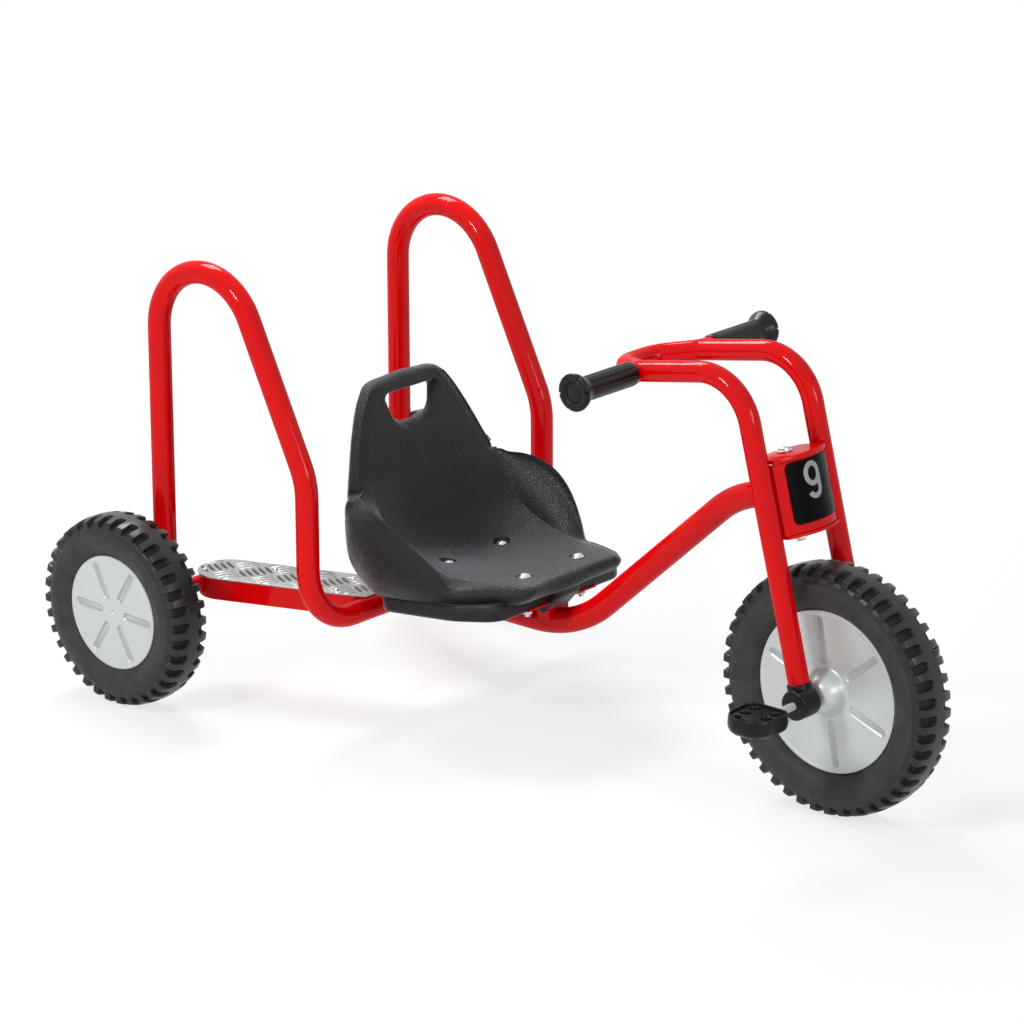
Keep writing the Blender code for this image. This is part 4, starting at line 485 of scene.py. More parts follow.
def red_paint():
    """Powder coat: a soft base with the faint waves of its clear coat."""
    colour = bpy.context.scene.kart_colours.paint
    bumps = (("noise", 0.0016, 0.04, 0.0002), ("noise", 0.012, 0.04, 0.0006))
    return look(
        "Red powder coat", colour, shades(colour, 0.9), 0.06, (0.34, 0.42),
        bumps=bumps, coat=0.32, specular=0.0,
    )


def seat_plastic():
    """The seat's moulded grain, with a light bloom at glancing angles."""
    colour = bpy.context.scene.kart_colours.plastic
    bumps = (("cells", 0.0018, 0.9, 0.0011), ("noise", 0.0028, 0.5, 0.0005))
    return look(
        "Grained black plastic", colour, shades(colour, 0.7), 0.03, (0.38, 0.46),
        bumps=bumps, specular=0.3, sheen=0.6,
    )


def smooth_plastic():
    """Grips, pedals and bearing blocks."""
    colour = shades(bpy.context.scene.kart_colours.plastic, 0.9)
    bumps = (("noise", 0.0012, 0.25, 0.0002),)
    return look(
        "Smooth black plastic", colour, shades(colour, 0.86), 0.02, (0.24, 0.34),
        bumps=bumps, specular=0.25, sheen=0.05,
    )


def groove_shaded(material, colour, dullness):
    """Turns a material's colour towards a painted shade, and its roughness duller, where the piece's
    Groove attribute rises to 1."""
    tree = material.node_tree
    if "Deep" in tree.nodes:
        return material
    shader = tree.nodes["Principled BSDF"]
    groove = add_node(tree, "Attribute", attribute_name="Groove").outputs["Fac"]
    plain, rough = (shader.inputs[name].links[0].from_socket for name in ("Base Color", "Roughness"))
    # Painted shade: the colour goes to the given dark shade as the groove depth rises
    groove_shade = tinted(tree, groove, plain, (*colour, 1), "Deep")
    tree.links.new(groove_shade, shader.inputs["Base Color"])
    inputs = {0: groove, 1: dullness, 2: rough}
    duller = add_node(tree, "Math", inputs, operation="MULTIPLY_ADD", use_clamp=True)
    tree.links.new(duller.outputs[0], shader.inputs["Roughness"])
    return material


def tyre_rubber():
    """The tread: duller at the bottom of its grooves, and darkened there with painted shade."""
    colour = bpy.context.scene.kart_colours.rubber
    bumps = (("noise", 0.0015, 0.3, 0.0003), ("noise", 0.009, 0.15, 0.0006))
    rubber = look(
        "Tyre rubber", colour, shades(colour, 0.6), 0.025, (0.3, 0.4), bumps=bumps, specular=0.34
    )
    # Painted shade at the bottom of the tread's grooves: nearly black
    return groove_shaded(rubber, (0.003, 0.003, 0.003), 0.4)


def dusty_rubber():
    """The tyre's side: duller, with a brownish bloom and a finer pitting than the tread."""
    colour = bpy.context.scene.kart_colours.rubber
    bumps = (("noise", 0.0013, 0.45, 0.0003), ("noise", 0.006, 0.2, 0.0006))
    bloom = [part * share for part, share in zip(colour, (3.5, 3.3, 3.12))]
    return look(
        "Tyre side rubber", bloom, shades(bloom, 0.25), 0.03, (0.5, 0.64), bumps=bumps, specular=0.22
    )


def disc_paint():
    """Silver paint, with painted shade in the pressed grooves."""
    colour = bpy.context.scene.kart_colours.disc
    bumps = (("noise", 0.0008, 0.08, 0.0001),)
    paint = look(
        "Silver wheel paint", colour, shades(colour, 0.94), 0.03, (0.3, 0.38), 0.25, bumps, specular=0.3
    )
    # Painted shade: the grooves take 0.62 of the paint's colour
    return groove_shaded(paint, shades(colour, 0.62), 0.05)


def zinc():
    """Plated bolts, nuts and screws."""
    bumps = (("noise", 0.0006, 0.1, 0.0001),)
    return look("Zinc", (0.72, 0.73, 0.74), (0.5, 0.52, 0.55), 0.006, (0.2, 0.34), 0.9, bumps)


def axle_grey():
    """The front axle's dull grey plating."""
    light, dark = (0.56, 0.57, 0.60), (0.5, 0.51, 0.54)
    bumps = (("noise", 0.0008, 0.1, 0.0001),)
    return look("Grey axle", light, dark, 0.01, (0.4, 0.5), 0.2, bumps, specular=0.3)


def aluminium():
    """Rolled aluminium. The bars' own UV map puts painted shade along one foot of each bar."""
    light, dark = (0.46, 0.452, 0.445), (0.17, 0.166, 0.162)
    bumps = (("brushed", 0.0007, 0.2, 0.0001), ("noise", 0.004, 0.1, 0.0003))
    material = look("Tread aluminium", light, dark, 0.009, (0.24, 0.36), 0.5, bumps)
    tree = material.node_tree
    if "Grime" in tree.nodes:
        return material
    base = tree.nodes["Principled BSDF"].inputs["Base Color"]
    bars = add_node(tree, "UVMap", uv_map="Bars").outputs["UV"]
    across = add_node(tree, "SeparateXYZ", {0: bars}).outputs["Y"]
    # Painted shade: each bar is darkest along one flank and fades out across it, by the UV's across value
    foot = ramp(tree, across, 0.3, 0.8, 1.0, 0.0)
    on_bar = add_node(tree, "Math", {0: across, 1: 1e-6}, operation="GREATER_THAN").outputs[0]
    share = add_node(tree, "Math", {0: foot, 1: on_bar}, operation="MULTIPLY").outputs[0]
    bar_shade = tinted(tree, share, base.links[0].from_socket, (0.02, 0.019, 0.018, 1), "Grime")
    tree.links.new(bar_shade, base)
    return material


def plate_black():
    """The number plate's black enamel."""
    light, dark = (0.003, 0.003, 0.003), (0.002, 0.002, 0.002)
    bumps = (("noise", 0.001, 0.06, 0.0001),)
    return look("Plate black", dark, light, 0.02, (0.2, 0.26), bumps=bumps, specular=0.04)


def figure_grey():
    """The plain figure on the plate."""
    light, dark = (0.36, 0.36, 0.38), (0.32, 0.32, 0.34)
    bumps = (("noise", 0.0008, 0.08, 0.0001),)
    return look("Figure grey", light, dark, 0.01, (0.35, 0.45), bumps=bumps, specular=0.1)


# Sizes and colours that a user may change

class KartTubeSizes(bpy.types.PropertyGroup):
    backbone_radius: FloatProperty(
        name="Backbone radius", description="Outer radius of the main tube", default=0.0165, unit="LENGTH"
    )
    loop_radius: FloatProperty(
        name="Loop radius", description="Outer radius of the grab loops' tube", default=0.015, unit="LENGTH"
    )
    fork_radius: FloatProperty(
        name="Fork radius",
        description="Outer radius of the fork and handlebar",
        default=0.0135,
        unit="LENGTH",
    )
    sides: IntProperty(name="Tube sides", description="Faces round a tube", default=48)


class KartWheelSizes(bpy.types.PropertyGroup):
    front_lugs: IntProperty(
        name="Front lugs", description="Lugs on each shoulder of the front tyre", default=44
    )
    rear_lugs: IntProperty(
        name="Rear lugs", description="Lugs on each shoulder of a rear tyre", default=35
    )
    lug_depth: FloatProperty(
        name="Lug depth", description="Depth of the grooves between lugs", default=LUG_DEPTH, unit="LENGTH"
    )
    groove_depth: FloatProperty(
        name="Disc groove depth",
        description="Depth of the pressed disc grooves",
        default=0.0032,
        unit="LENGTH",
    )


class KartSeatSizes(bpy.types.PropertyGroup):
    hole_half_width: FloatProperty(
        name="Handle hole half width",
        description="Half the width of the hole in the back",
        default=0.0465,
        unit="LENGTH",
    )
    hole_drop: FloatProperty(
        name="Handle hole drop", description="Height of the hole in the back", default=0.040, unit="LENGTH"
    )


class KartColours(bpy.types.PropertyGroup):
    paint: FloatVectorProperty(
        name="Paint", description="Powder coat of the tubes", subtype="COLOR", default=(0.68, 0.0012, 0.003)
    )
    plastic: FloatVectorProperty(
        name="Plastic",
        description="Seat, grips, pedals and bearing blocks",
        subtype="COLOR",
        default=(0.0042, 0.0045, 0.0056),
    )
    rubber: FloatVectorProperty(
        name="Rubber", description="Tyres", subtype="COLOR", default=(0.018, 0.018, 0.0185)
    )
    disc: FloatVectorProperty(
        name="Discs", description="Wheel discs", subtype="COLOR", default=(0.60, 0.63, 0.62)
    )


# Chassis

def backbone_path():
    """Level from the cross tube, up a slope, then square into the head tube."""
    up = np.array([math.cos(BACKBONE_SLOPE), 0.0, math.sin(BACKBONE_SLOPE)])
    neck = BACKBONE_KNEE + up * ((STEER_POINT - BACKBONE_KNEE) @ STEER_UP) / (up @ STEER_UP)
    corners = [(LOOP_FRONT_X, 0.0, CROSS_Z), BACKBONE_KNEE, neck, STEER_POINT]
    return rounded_path(corners, (0.175, 0.140))


def loop_path(side):
    """A grab loop: rear leg, round top, sloping front and a foot that turns inboard."""
    sine, cosine = math.sin(LOOP_SLOPE), math.cos(LOOP_SLOPE)
    touch_x = REAR_AXLE_X + LOOP_TOP_RADIUS + LOOP_TOP_RADIUS * cosine
    touch_z = LOOP_TOP - LOOP_TOP_RADIUS + LOOP_TOP_RADIUS * sine
    apex_x = touch_x - sine * (LOOP_TOP - touch_z) / cosine
    elbow_z = touch_z - cosine * (LOOP_FRONT_X - touch_x) / sine
    y = side * LOOP_Y
    corners = [
        (REAR_AXLE_X, y, REAR_TYRE_RADIUS),
        (REAR_AXLE_X, y, LOOP_TOP),
        (apex_x, y, LOOP_TOP),
        (LOOP_FRONT_X, y, elbow_z),
        (LOOP_FRONT_X, y, CROSS_Z),
        (LOOP_FRONT_X, side * CROSS_HALF, CROSS_Z),
    ]
    radii = (LOOP_TOP_RADIUS, LOOP_TOP_RADIUS, LOOP_ELBOW_RADIUS, LOOP_FOOT_RADIUS)
    return rounded_path(corners, radii)


def weld(centre, axis, radius, bead=0.0022, ripples=26, steps=104):
    """A weld bead: a small ring round a joint whose thickness ripples round the joint.

    Ring point = centre + (radius + s cos b) outward + s sin b axis, with the size s a tenth
    larger and smaller than 0.9 bead, ripple by ripple."""
    axis = unit(np.asarray(axis, float))
    hint = LEFTWARD if abs(axis @ LEFTWARD) < 0.9 else FORWARD
    first = unit(hint - axis * (hint @ axis))
    second = np.cross(axis, first)
    around = full_turn(8)[:, None]
    size = bead * (0.9 + 0.1 * np.sin(full_turn(steps) * ripples))[None, :]
    radii, along = radius + np.cos(around) * size, np.sin(around) * size
    return turned(radii, along, np.asarray(centre, float), steps, (first, second, axis), closed=True)


class KART_OT_chassis(bpy.types.Operator):
    """Adds the backbone, the cross tube, the head tube and the two grab loops"""

    bl_idname = "kart.chassis"
    bl_label = "Chassis tubes"

    def execute(self, context):
        sizes = context.scene.kart_tubes
        paint = red_paint()
        backbone = tube(backbone_path(), sizes.backbone_radius, sizes.sides)
        put("backbone", backbone, paint, ["backbone_tube"])
        bar = np.array([(LOOP_FRONT_X, -CROSS_HALF, CROSS_Z), (LOOP_FRONT_X, CROSS_HALF, CROSS_Z)])
        bar = tube(bar, sizes.loop_radius, sizes.sides, UPWARD)
        put("cross_bar", bar, paint, ["cross_tube"])
        head = STEER_POINT + STEER_UP * np.array([-HEAD_PIPE_HALF, HEAD_PIPE_HALF])[:, None]
        put("head_pipe", tube(head, HEAD_PIPE_RADIUS, sizes.sides), paint, ["head_tube"])
        beads = []
        for label, side in SIDES:
            loop = tube(loop_path(side), sizes.loop_radius, sizes.sides)
            put(f"loop_{label}", loop, paint, [f"grab_loop_{label}"])
            joint = (LOOP_FRONT_X, side * CROSS_HALF, CROSS_Z)
            beads.append(weld(joint, LEFTWARD, sizes.loop_radius - 0.0006, 0.0011))
        beads.append(weld(STEER_POINT - STEER_FORWARD * 0.0172, STEER_FORWARD, sizes.backbone_radius))
        put("frame_welds", together(*beads), paint, body="frame")
        return {"FINISHED"}


def board_outline(side, front_x, inset=0.0):
    """A footboard from above: half a circle at the rear and straight sides that head inboard."""
    radius = BOARD_RADIUS - inset
    angle = np.linspace(0, np.pi, 37)[:, None]
    arc = BOARD_REAR + radius * (BOARD_OUTWARD * np.cos(angle) - BOARD_AHEAD * np.sin(angle))
    starts = np.array([BOARD_REAR - BOARD_OUTWARD * radius, BOARD_REAR + BOARD_OUTWARD * radius])
    ends = starts + BOARD_AHEAD * ((REAR_AXLE_X + front_x - starts[:, :1]) / BOARD_AHEAD[0])
    share = np.linspace(0, 1, 25)[1:-1, None]
    front = np.concatenate([ends[:1], ends[:1] + (ends[1:] - ends[:1]) * share, ends[1:]])
    return np.concatenate([arc, front]) * (1.0, side)


def on_board(spot):
    """Places seen from above, moved onto the board, and how far inside its edge they are."""
    reach = BOARD_RADIUS - 0.0012
    ahead = (spot - BOARD_REAR) @ BOARD_AHEAD
    across = np.clip((spot - BOARD_REAR) @ BOARD_OUTWARD, -reach, reach)
    front = (REAR_AXLE_X + BAR_FRONT - BOARD_REAR[0] - across * BOARD_OUTWARD[0]) / BOARD_AHEAD[0]
    over = np.where(ahead < 0, np.maximum(np.hypot(ahead, across) / reach, 1.0), 1.0)
    ahead, across = np.minimum(ahead, front) / over, across / over
    round_end = np.where(ahead < 0, reach - np.hypot(ahead, across), 1.0)
    inside = np.minimum(np.minimum(reach - np.abs(across), front - ahead), round_end)
    return BOARD_REAR + ahead[..., None] * BOARD_AHEAD + across[..., None] * BOARD_OUTWARD, inside


def tread_bars(side):
    """Raised bars in groups of five that turn by a right angle from group to group.

    A bar is a lens: its half width is h sqrt(1 - u^2) and its height t (1 - v^2)(1 - u^4). Bars
    that the plate's edge cuts fade out there. A UV map holds u and v, with each group's way in u."""
    sine, cosine = math.sin(BAR_LATTICE), math.cos(BAR_LATTICE)
    ways = np.array([[cosine, sine], [sine, -cosine]])
    column, row = np.meshgrid(np.arange(-6, 7), np.arange(-6, 7), indexing="ij")
    column, row = column.ravel(), row.ravel()
    centre = FIRST_BARS + BAR_GROUP_PITCH * (column[:, None] * ways[0] + row[:, None] * ways[1])
    way = (column + row) % 2
    along_axis, side_axis = ways[way], ways[1 - way]
    shift = ((np.arange(5) - 2) * BAR_PITCH)[None, :, None]
    bars = (centre[:, None] + shift * side_axis[:, None]).reshape(-1, 2)
    along_axis, side_axis = np.repeat(along_axis, 5, axis=0), np.repeat(side_axis, 5, axis=0)
    way = np.repeat(way, 5)
    moved, inside = on_board(bars)
    keep = (np.linalg.norm(moved - bars, axis=-1) < 1e-9) & (inside > BAR_MARGIN)
    bars, along_axis, side_axis, way = bars[keep], along_axis[keep], side_axis[keep], way[keep]
    u, v = np.meshgrid(np.linspace(-1, 1, 13), np.linspace(-1, 1, 9), indexing="ij")
    wide = BAR_HALF_WIDTH * np.sqrt(1 - u**2 + 1e-4) * v
    flat = (
        bars[:, None, None]
        + (u * BAR_HALF_LENGTH)[..., None] * along_axis[:, None, None]
        + wide[..., None] * side_axis[:, None, None]
    )
    spot, inside = on_board(flat)
    height = BAR_HEIGHT * (1 - v**2) * (1 - u**4) * np.clip(inside / BAR_MARGIN, 0, 1)
    foot = BOARD_TOP - 0.00008
    points = np.concatenate([spot * (1.0, side), (height + foot)[..., None]], axis=-1)
    starts = np.arange(len(bars))[:, None, None] * u.size
    quads = (grid_quads(*u.shape)[None] + starts).reshape(-1, 4)
    # u and v go to the Bars UV map, which the aluminium reads for its painted shade along one flank of each
    # bar
    uv = np.stack(np.broadcast_arrays((u + 1) / 4 + way[:, None, None] * 0.5, (v + 1) / 2), axis=-1)
    return points.reshape(-1, 3), quads, uv.reshape(-1, 2)


class KART_OT_footboards(bpy.types.Operator):
    """Adds the two footboards: tread plates, their channels, screws and the axle beams"""

    bl_idname = "kart.footboards"
    bl_label = "Footboards"

    def execute(self, context):
        # A channel's insets and heights, from the turned lip over the wall to the open underside
        channel_levels = [
            (0.0025, 0.1515), (0.0025, 0.1262), (0.0018, 0.126), (0.0006, 0.126), (0.0, 0.1266),
            (0.0, 0.1534), (0.0006, 0.154),
        ]
        # A screw head's radii and heights
        screw = np.array([(0.0, 0.0026), (0.0018, 0.0023), (0.0032, 0.0012), (0.0036, 0.0)])
        screw = smooth_through(screw, 4)
        # The beam's radii and places from its inner end to the spindle's tip
        hub_end = REAR_HALF_TRACK - REAR_FACE - 0.004 - 0.0004
        beam = [
            (0.0, 0.146), (0.010, 0.146), (0.010, hub_end), (0.007, hub_end), (0.007, 0.319), (0.0, 0.319),
        ]
        axle = np.array([REAR_AXLE_X, 0, REAR_TYRE_RADIUS])
        for label, side in SIDES:
            levels = slab_levels(BOARD_TOP - 0.002, BOARD_TOP, 0.0006)
            plate = stacked(board_outline(side, BOARD_FRONT), levels)
            put(f"board_{label}", plate, aluminium(), [f"tread_plate_{label}"])
            *shape, uv = tread_bars(side)
            bars = put(f"board_bars_{label}", shape, aluminium(), body="frame", crease=60)
            # The Bars UV map, which sets the painted shade on one flank of each bar
            corners = np.empty(len(bars.data.loops), np.int32)
            bars.data.loops.foreach_get("vertex_index", corners)
            layer = bars.data.uv_layers.new(name="Bars")
            layer.data.foreach_set("uv", uv[corners].astype(np.float32).ravel())
            heads = []
            for x, y in BOARD_SCREWS:
                at = np.array([REAR_AXLE_X + x, side * y, BOARD_TOP - 0.0001])
                heads.append(turned(screw[:, 0], screw[:, 1], at, 24, LEVEL_AXES))
            put(f"board_screws_{label}", together(*heads), zinc(), body="frame")
            channel = stacked(board_outline(side, 0.260, 0.0015), channel_levels)
            put(f"channel_{label}", channel, red_paint(), [f"platform_channel_{label}"])
            stub = lathe(beam, (0.001,) * 4, axle, step_deg=30, side=side)
            put(f"axle_beam_{label}", stub, red_paint(), [f"rear_axle_{label}"])
        return {"FINISHED"}


# Seat

# Sections from the front lip to the top of the back, in millimetres, with x ahead of the rear axle.
# Each holds the middle (x, z) and edge (x, y, z) of the sitting side, the crest of the rim, the
# widest place of the outside, its lower or rear edge (each x, y, z) and its middle (x, z).
SEAT_SECTIONS = np.array([
    (500, 213.5, 509, 80, 216.5, 498, 98, 214.5, 500, 103, 204, 495, 94, 191, 503, 191),
    (480, 213.5, 478, 91, 215.5, 477, 105, 213.5, 478, 111, 203, 474, 104, 190, 480, 188),
    (445, 211.7, 444, 101, 212.5, 447, 119, 209, 447, 126, 199, 443, 125, 187, 445, 182),
    (415, 209, 416, 108, 211, 418, 130.5, 206.5, 417, 138, 197, 411, 134.5, 184, 415, 177),
    (388, 206, 390, 113, 214, 403, 140, 226, 400, 147, 207, 390, 137, 181, 388, 173),
    (360, 203, 368, 116, 218, 384, 150, 247, 376, 158, 220, 362, 140, 178, 360, 169),
    (330, 202, 345, 118, 224, 362, 157, 266, 348, 166, 232, 328, 141, 174, 330, 165),
    (304, 209, 319, 120, 237, 340, 160, 279, 321, 168, 240, 299, 137, 170, 294, 163),
    (286, 229, 299, 120, 256, 318, 158, 288, 295, 165, 248, 270, 132, 180, 263, 178),
    (272, 259, 283, 119, 278, 296, 151, 293, 270, 159, 262, 248, 133, 204, 243, 202),
    (262, 287, 268, 116, 297, 275, 140, 294.5, 255, 149, 279, 242, 136, 243, 236, 243),
    (260.3, 292.5, 264.5, 114, 300.5, 268.5, 136.5, 297.2, 251.5, 145.5, 286.5, 239, 133, 260, 233.5, 258),
    (258.5, 298, 261, 111, 303.5, 262.5, 123.5, 301, 248, 134, 295.5, 236.5, 126, 275, 231.8, 272),
    (256, 305, 258, 109, 308, 258, 126, 305, 246, 134, 299, 234, 124, 288, 230, 284),
    (250, 328, 251, 101, 329, 248, 118, 329, 236, 121, 326, 225, 110, 322, 224, 320),
    (243, 356, 243, 90, 356, 240, 106, 356, 227, 108, 355, 216, 96, 353, 216, 353),
    (232, 396, 233, 72, 395, 230, 86, 393, 217, 88, 392, 206, 76, 392, 206, 393),
    (227, 415, 228, 58, 414, 226, 73, 410.5, 213, 75, 410.5, 203, 62, 412, 202, 413),
]) / 1000

# How sharply the floor turns up into the side, from the front lip to the top of the back
SEAT_CREASE = np.array([0, 0, 0.35, 0.8, 1, 1, 1, 1, 0.9, 0.75, 0.5, 0.4, 0.3, 0.3, 0.3, 0.3, 0.3, 0.3])


def seat_rings():
    """Half rings through the sections' places, mirrored, then smoothed both ways.

    The floor dips as t^2 to its edge, and the side sweeps up from there: its way out is
    t + b sin(pi t) and its way up t - b sin(pi t), with b below 0 where the crease is sharp."""
    table = SEAT_SECTIONS
    zero = np.zeros((len(table), 1))
    middle = np.hstack([table[:, :1], zero, table[:, 1:2]])
    edge, crest, widest, lower = (table[:, i : i + 3] for i in (2, 5, 8, 11))
    under = np.hstack([table[:, 14:15], zero, table[:, 15:16]])
    roll = crest + (edge - crest) * 0.12 + (widest - crest) * 0.12
    bow = 0.2 - 0.38 * SEAT_CREASE
    places = [middle]
    for t in (0.5, 0.96, 1.0):
        places.append(middle + (edge - middle) * np.array([t**2, t, t**2]))
    for t in (0.05, 0.35, 0.7, 1.0):
        out, rise = (t + way * bow * math.sin(t * math.pi) for way in (1, -1))
        places.append(edge + (roll - edge) * np.stack([np.full(len(out), t), out, rise], axis=1))
    places.append(crest)
    places.append(crest + (widest - crest) * 0.35 + unit(crest - edge) * 0.0015)
    places.append(widest)
    places.append(widest + (lower - widest) * np.array([0.5, 0.35, 0.65]))
    places.append(lower)
    places.append((under + lower) / 2)
    places.append(under)
    half = np.array(places)
    mirrored = half[1:-1][::-1] * (1.0, -1.0, 1.0)
    ring = np.concatenate([half, mirrored])
    ring = smooth_through(ring, 6, closed=True)
    rows = smooth_through(ring.transpose(1, 0, 2), 7)
    return rows + np.array([REAR_AXLE_X, 0.0, 0.0])


def seat_shell():
    """The rings, with a half-round nose at the front lip and at the top edge.

    Each place of the sitting side has a partner outside; the nose is middle + half gap cos b,
    pushed away by half the gap times sin b."""
    rows = seat_rings()
    count = rows.shape[1]
    partner = (count // 2 - np.arange(count)) % count
    noses = []
    for end, inner in ((rows[0], rows[1]), (rows[-1], rows[-2])):
        middle = (end + end[partner]) / 2
        half = end - middle
        away = unit(end - inner)
        away = unit(away + away[partner]) * np.linalg.norm(half, axis=1, keepdims=True)
        angle = np.linspace(0, np.pi / 2, 8)[1:, None, None]
        noses.append(middle + half * np.cos(angle) + away * np.sin(angle) * 0.95)
    return surface(np.concatenate([noses[0][::-1], rows, noses[1]]), round_cols=True)


def pan_point(x, side=0.0, lift=0.0):
    """A place on the sloping pan, x ahead of the rear axle, on its middle line or in a bolt's row."""
    rise = (x - REAR_BOLT_X) * math.tan(PAN_SLOPE)
    return np.array([REAR_AXLE_X + x, side * BOLT_HALF_SPACING, PAN_HEIGHT + rise + lift])


def handle_hole(half_width, drop):
    """A D turned flat side up, with a narrow waist half way and two mouths that flare as
    depth^2.2, more to the rear. It leans as the seat's back does between its two sections there."""
    depth = np.linspace(-1.5, 1.5, 25)
    flare = np.where(depth < 0, 0.020, 0.0085) * np.abs(depth) ** 2.2
    corners = [(1.0, 0.0), (-1.0, 0.0), (-0.72, -1.0), (0.72, -1.0)]
    outline = rounded_outline(corners, (0.18, 0.18, 0.62, 0.62), 8)
    y = outline[None, :, 0] * (half_width + flare[:, None]) + 0.0035
    z = 0.403 + flare[:, None] * 0.5 + outline[None, :, 1] * (drop + flare[:, None] * 1.4)
    lean = (0.232 - 0.243) / (0.396 - 0.356)
    x = REAR_AXLE_X + 0.232 + (z - 0.396) * lean + (depth[:, None] - 1) * 0.013
    return surface(capped(np.stack([x, y, z], axis=-1)), round_cols=True)


class KART_OT_seat(bpy.types.Operator):
    """Adds the bucket seat with its base, handle hole and four bolts"""

    bl_idname = "kart.seat"
    bl_label = "Seat"

    def execute(self, context):
        self.add_shell(context.scene.kart_seat)
        self.add_base()
        self.add_fastenings()
        return {"FINISHED"}

    def add_shell(self, sizes):
        """The shell, with its handle hole and a shallow recess round each bolt."""
        shell = put("seat_bucket", seat_shell(), seat_plastic(), ["seat_shell"], 50.0)
        recess = [(0.0, -0.004), (0.011, -0.004), (0.013, 0.012), (0.0, 0.012)]
        tools = [handle_hole(sizes.hole_half_width, sizes.hole_drop)]
        for _, x, lift in BOLT_ROWS:
            for _, side in SIDES:
                tools.append(lathe(recess, (0.0015, 0.001), pan_point(x, side, lift), PAN_AXES))
        cut(shell, together(*tools))

    def add_base(self):
        """The slab under the pan, with a pocket for each bracket, and the keel in front of it."""
        rear, middle, front = ((x - REAR_BOLT_X) / PAN_AXES[0][0] for x in (0.290, 0.425, 0.487))
        corners = [(rear, 0.142), (middle, 0.142), (front, 0.121)]
        corners += [(front, -0.121), (middle, -0.142), (rear, -0.142)]
        outline = rounded_outline(corners, (0.030, 0.090, 0.030) * 2)
        base = stacked(outline, slab_levels(-0.0455, -0.024, 0.005), PAN_AXES, pan_point(REAR_BOLT_X))
        base = put("seat_base", base, seat_plastic(), body="frame")
        corners = [(-0.0153, -0.0663), (-0.0153, 0.0663), (0.0153, 0.0663), (0.0153, -0.0663)]
        levels = [(0.0, -0.0465), (0.0, -0.0415)]
        pockets = [stacked(corners, levels, PAN_AXES, pan_point(x)) for _, x, _ in BOLT_ROWS]
        cut(base, together(*pockets))
        corners = [(0.447, 0.190), (0.447, 0.1575), (0.481, 0.1575), (0.504, 0.183), (0.504, 0.192)]
        keel = rounded_outline(corners, (0.002, 0.006, 0.008, 0.006, 0.002))
        axes, origin = (FORWARD, UPWARD, LEFTWARD), (REAR_AXLE_X, 0.0, 0.0)
        keel = stacked(keel, slab_levels(-0.0235, 0.0235, 0.003), axes, origin)
        put("seat_keel", keel, seat_plastic(), body="frame")

    def add_fastenings(self):
        """The bolts, each a domed head, a washer and a shank, their nuts and the two brackets."""
        corners = [
            (0.0, 0.0024), (0.0070, 0.0010), (0.0070, -0.0016), (0.0088, -0.0016), (0.0088, -0.0037),
            (0.0037, -0.0037), (0.0037, -0.055), (0.0, -0.055),
        ]
        radii = (0.003, 0.0004, 0.0005, 0.0003, 0.0003, 0.0005)
        for place, x, lift in BOLT_ROWS:
            for label, side in SIDES:
                bolt = lathe(corners, radii, pan_point(x, side, lift), PAN_AXES, 32)
                put(f"seat_screw_{place}_{label}", bolt, zinc(), [f"seat_bolt_{place}_{label}"])
                softened(f"seat_nut_{place}_{label}", zinc())
        for place in ("front", "rear"):
            softened(f"seat_bracket_{place}", red_paint())


# Steering

def fork_path(side):
    """Foot in the bearing block, bend at the top, then the arm to the handlebar."""
    line = STEER_POINT + STEER_FORWARD * 0.007
    foot = line + STEER_UP * ((FRONT_AXLE - line) @ STEER_UP + 0.012)
    corner = line + STEER_UP * (FORK_TOP - line[2]) / STEER_UP[2]
    end = np.array([HANDLEBAR_X, 0.0, corner[2] - (corner[0] - HANDLEBAR_X) * ARM_FALL])
    corners = np.array([foot, corner, end]) + LEFTWARD * side * FORK_Y
    return rounded_path(corners, (0.070,))


def handlebar_z():
    """The height at which the arms reach the handlebar."""
    return fork_path(1.0)[-1, 2]


def handlebar_path():
    """Level at its ends, bowed rearward and down between the arms."""
    z, bow, half = handlebar_z(), 0.052, FORK_Y - 0.002
    corners = [
        (HANDLEBAR_X, HANDLEBAR_HALF, z),
        (HANDLEBAR_X, half, z),
        (HANDLEBAR_X - bow, half * 0.52, z - bow * ARM_FALL),
        (HANDLEBAR_X - bow, -half * 0.52, z - bow * ARM_FALL),
        (HANDLEBAR_X, -half, z),
        (HANDLEBAR_X, -HANDLEBAR_HALF, z),
    ]
    return rounded_path(corners, (0.022, 0.036, 0.036, 0.022))


def head_bow(across):
    """How far the head's front stands ahead of its ends: bulge (1 - (across / half width)^2)."""
    return HEAD_BULGE * (1 - (across / HEAD_HALF_WIDTH) ** 2)


def panel(end_forward, sheet, half_width, low, high, corner, edge=0.0008):
    """A bowed plate: its outline is a rounded square on the head's bow, and it has a back, a rim
    and a front. Rings shrink to the middle on both faces."""
    corners = [(half_width, low), (half_width, high), (-half_width, high), (-half_width, low)]
    outline = rounded_outline(corners, (corner,) * 4, 9)
    dense = []
    for start, end in zip(outline, np.roll(outline, -1, axis=0)):
        pieces = max(1, int(np.linalg.norm(end - start) / 0.003))
        dense.append(start + (end - start) * (np.arange(pieces) / pieces)[:, None])
    outline = np.concatenate(dense)
    middle = np.array([0.0, (low + high) / 2])
    shrink = np.array([0.0, 0.25, 0.5, 0.75, 0.9, 1.0])
    face = middle + (outline - middle) * shrink[:, None, None]
    inset = unit(middle - outline) * edge
    flat = np.array([*face[:-1], outline + inset, outline, outline, outline + inset, *face[:-1][::-1]])
    depth = np.array([sheet] * 6 + [sheet - edge, edge] + [0.0] * 6)
    forward = end_forward + head_bow(flat[..., :1]) + depth[:, None, None]
    points = STEER_POINT + forward * STEER_FORWARD + flat[..., :1] * LEFTWARD + flat[..., 1:] * STEER_UP
    return surface(points, round_cols=True)


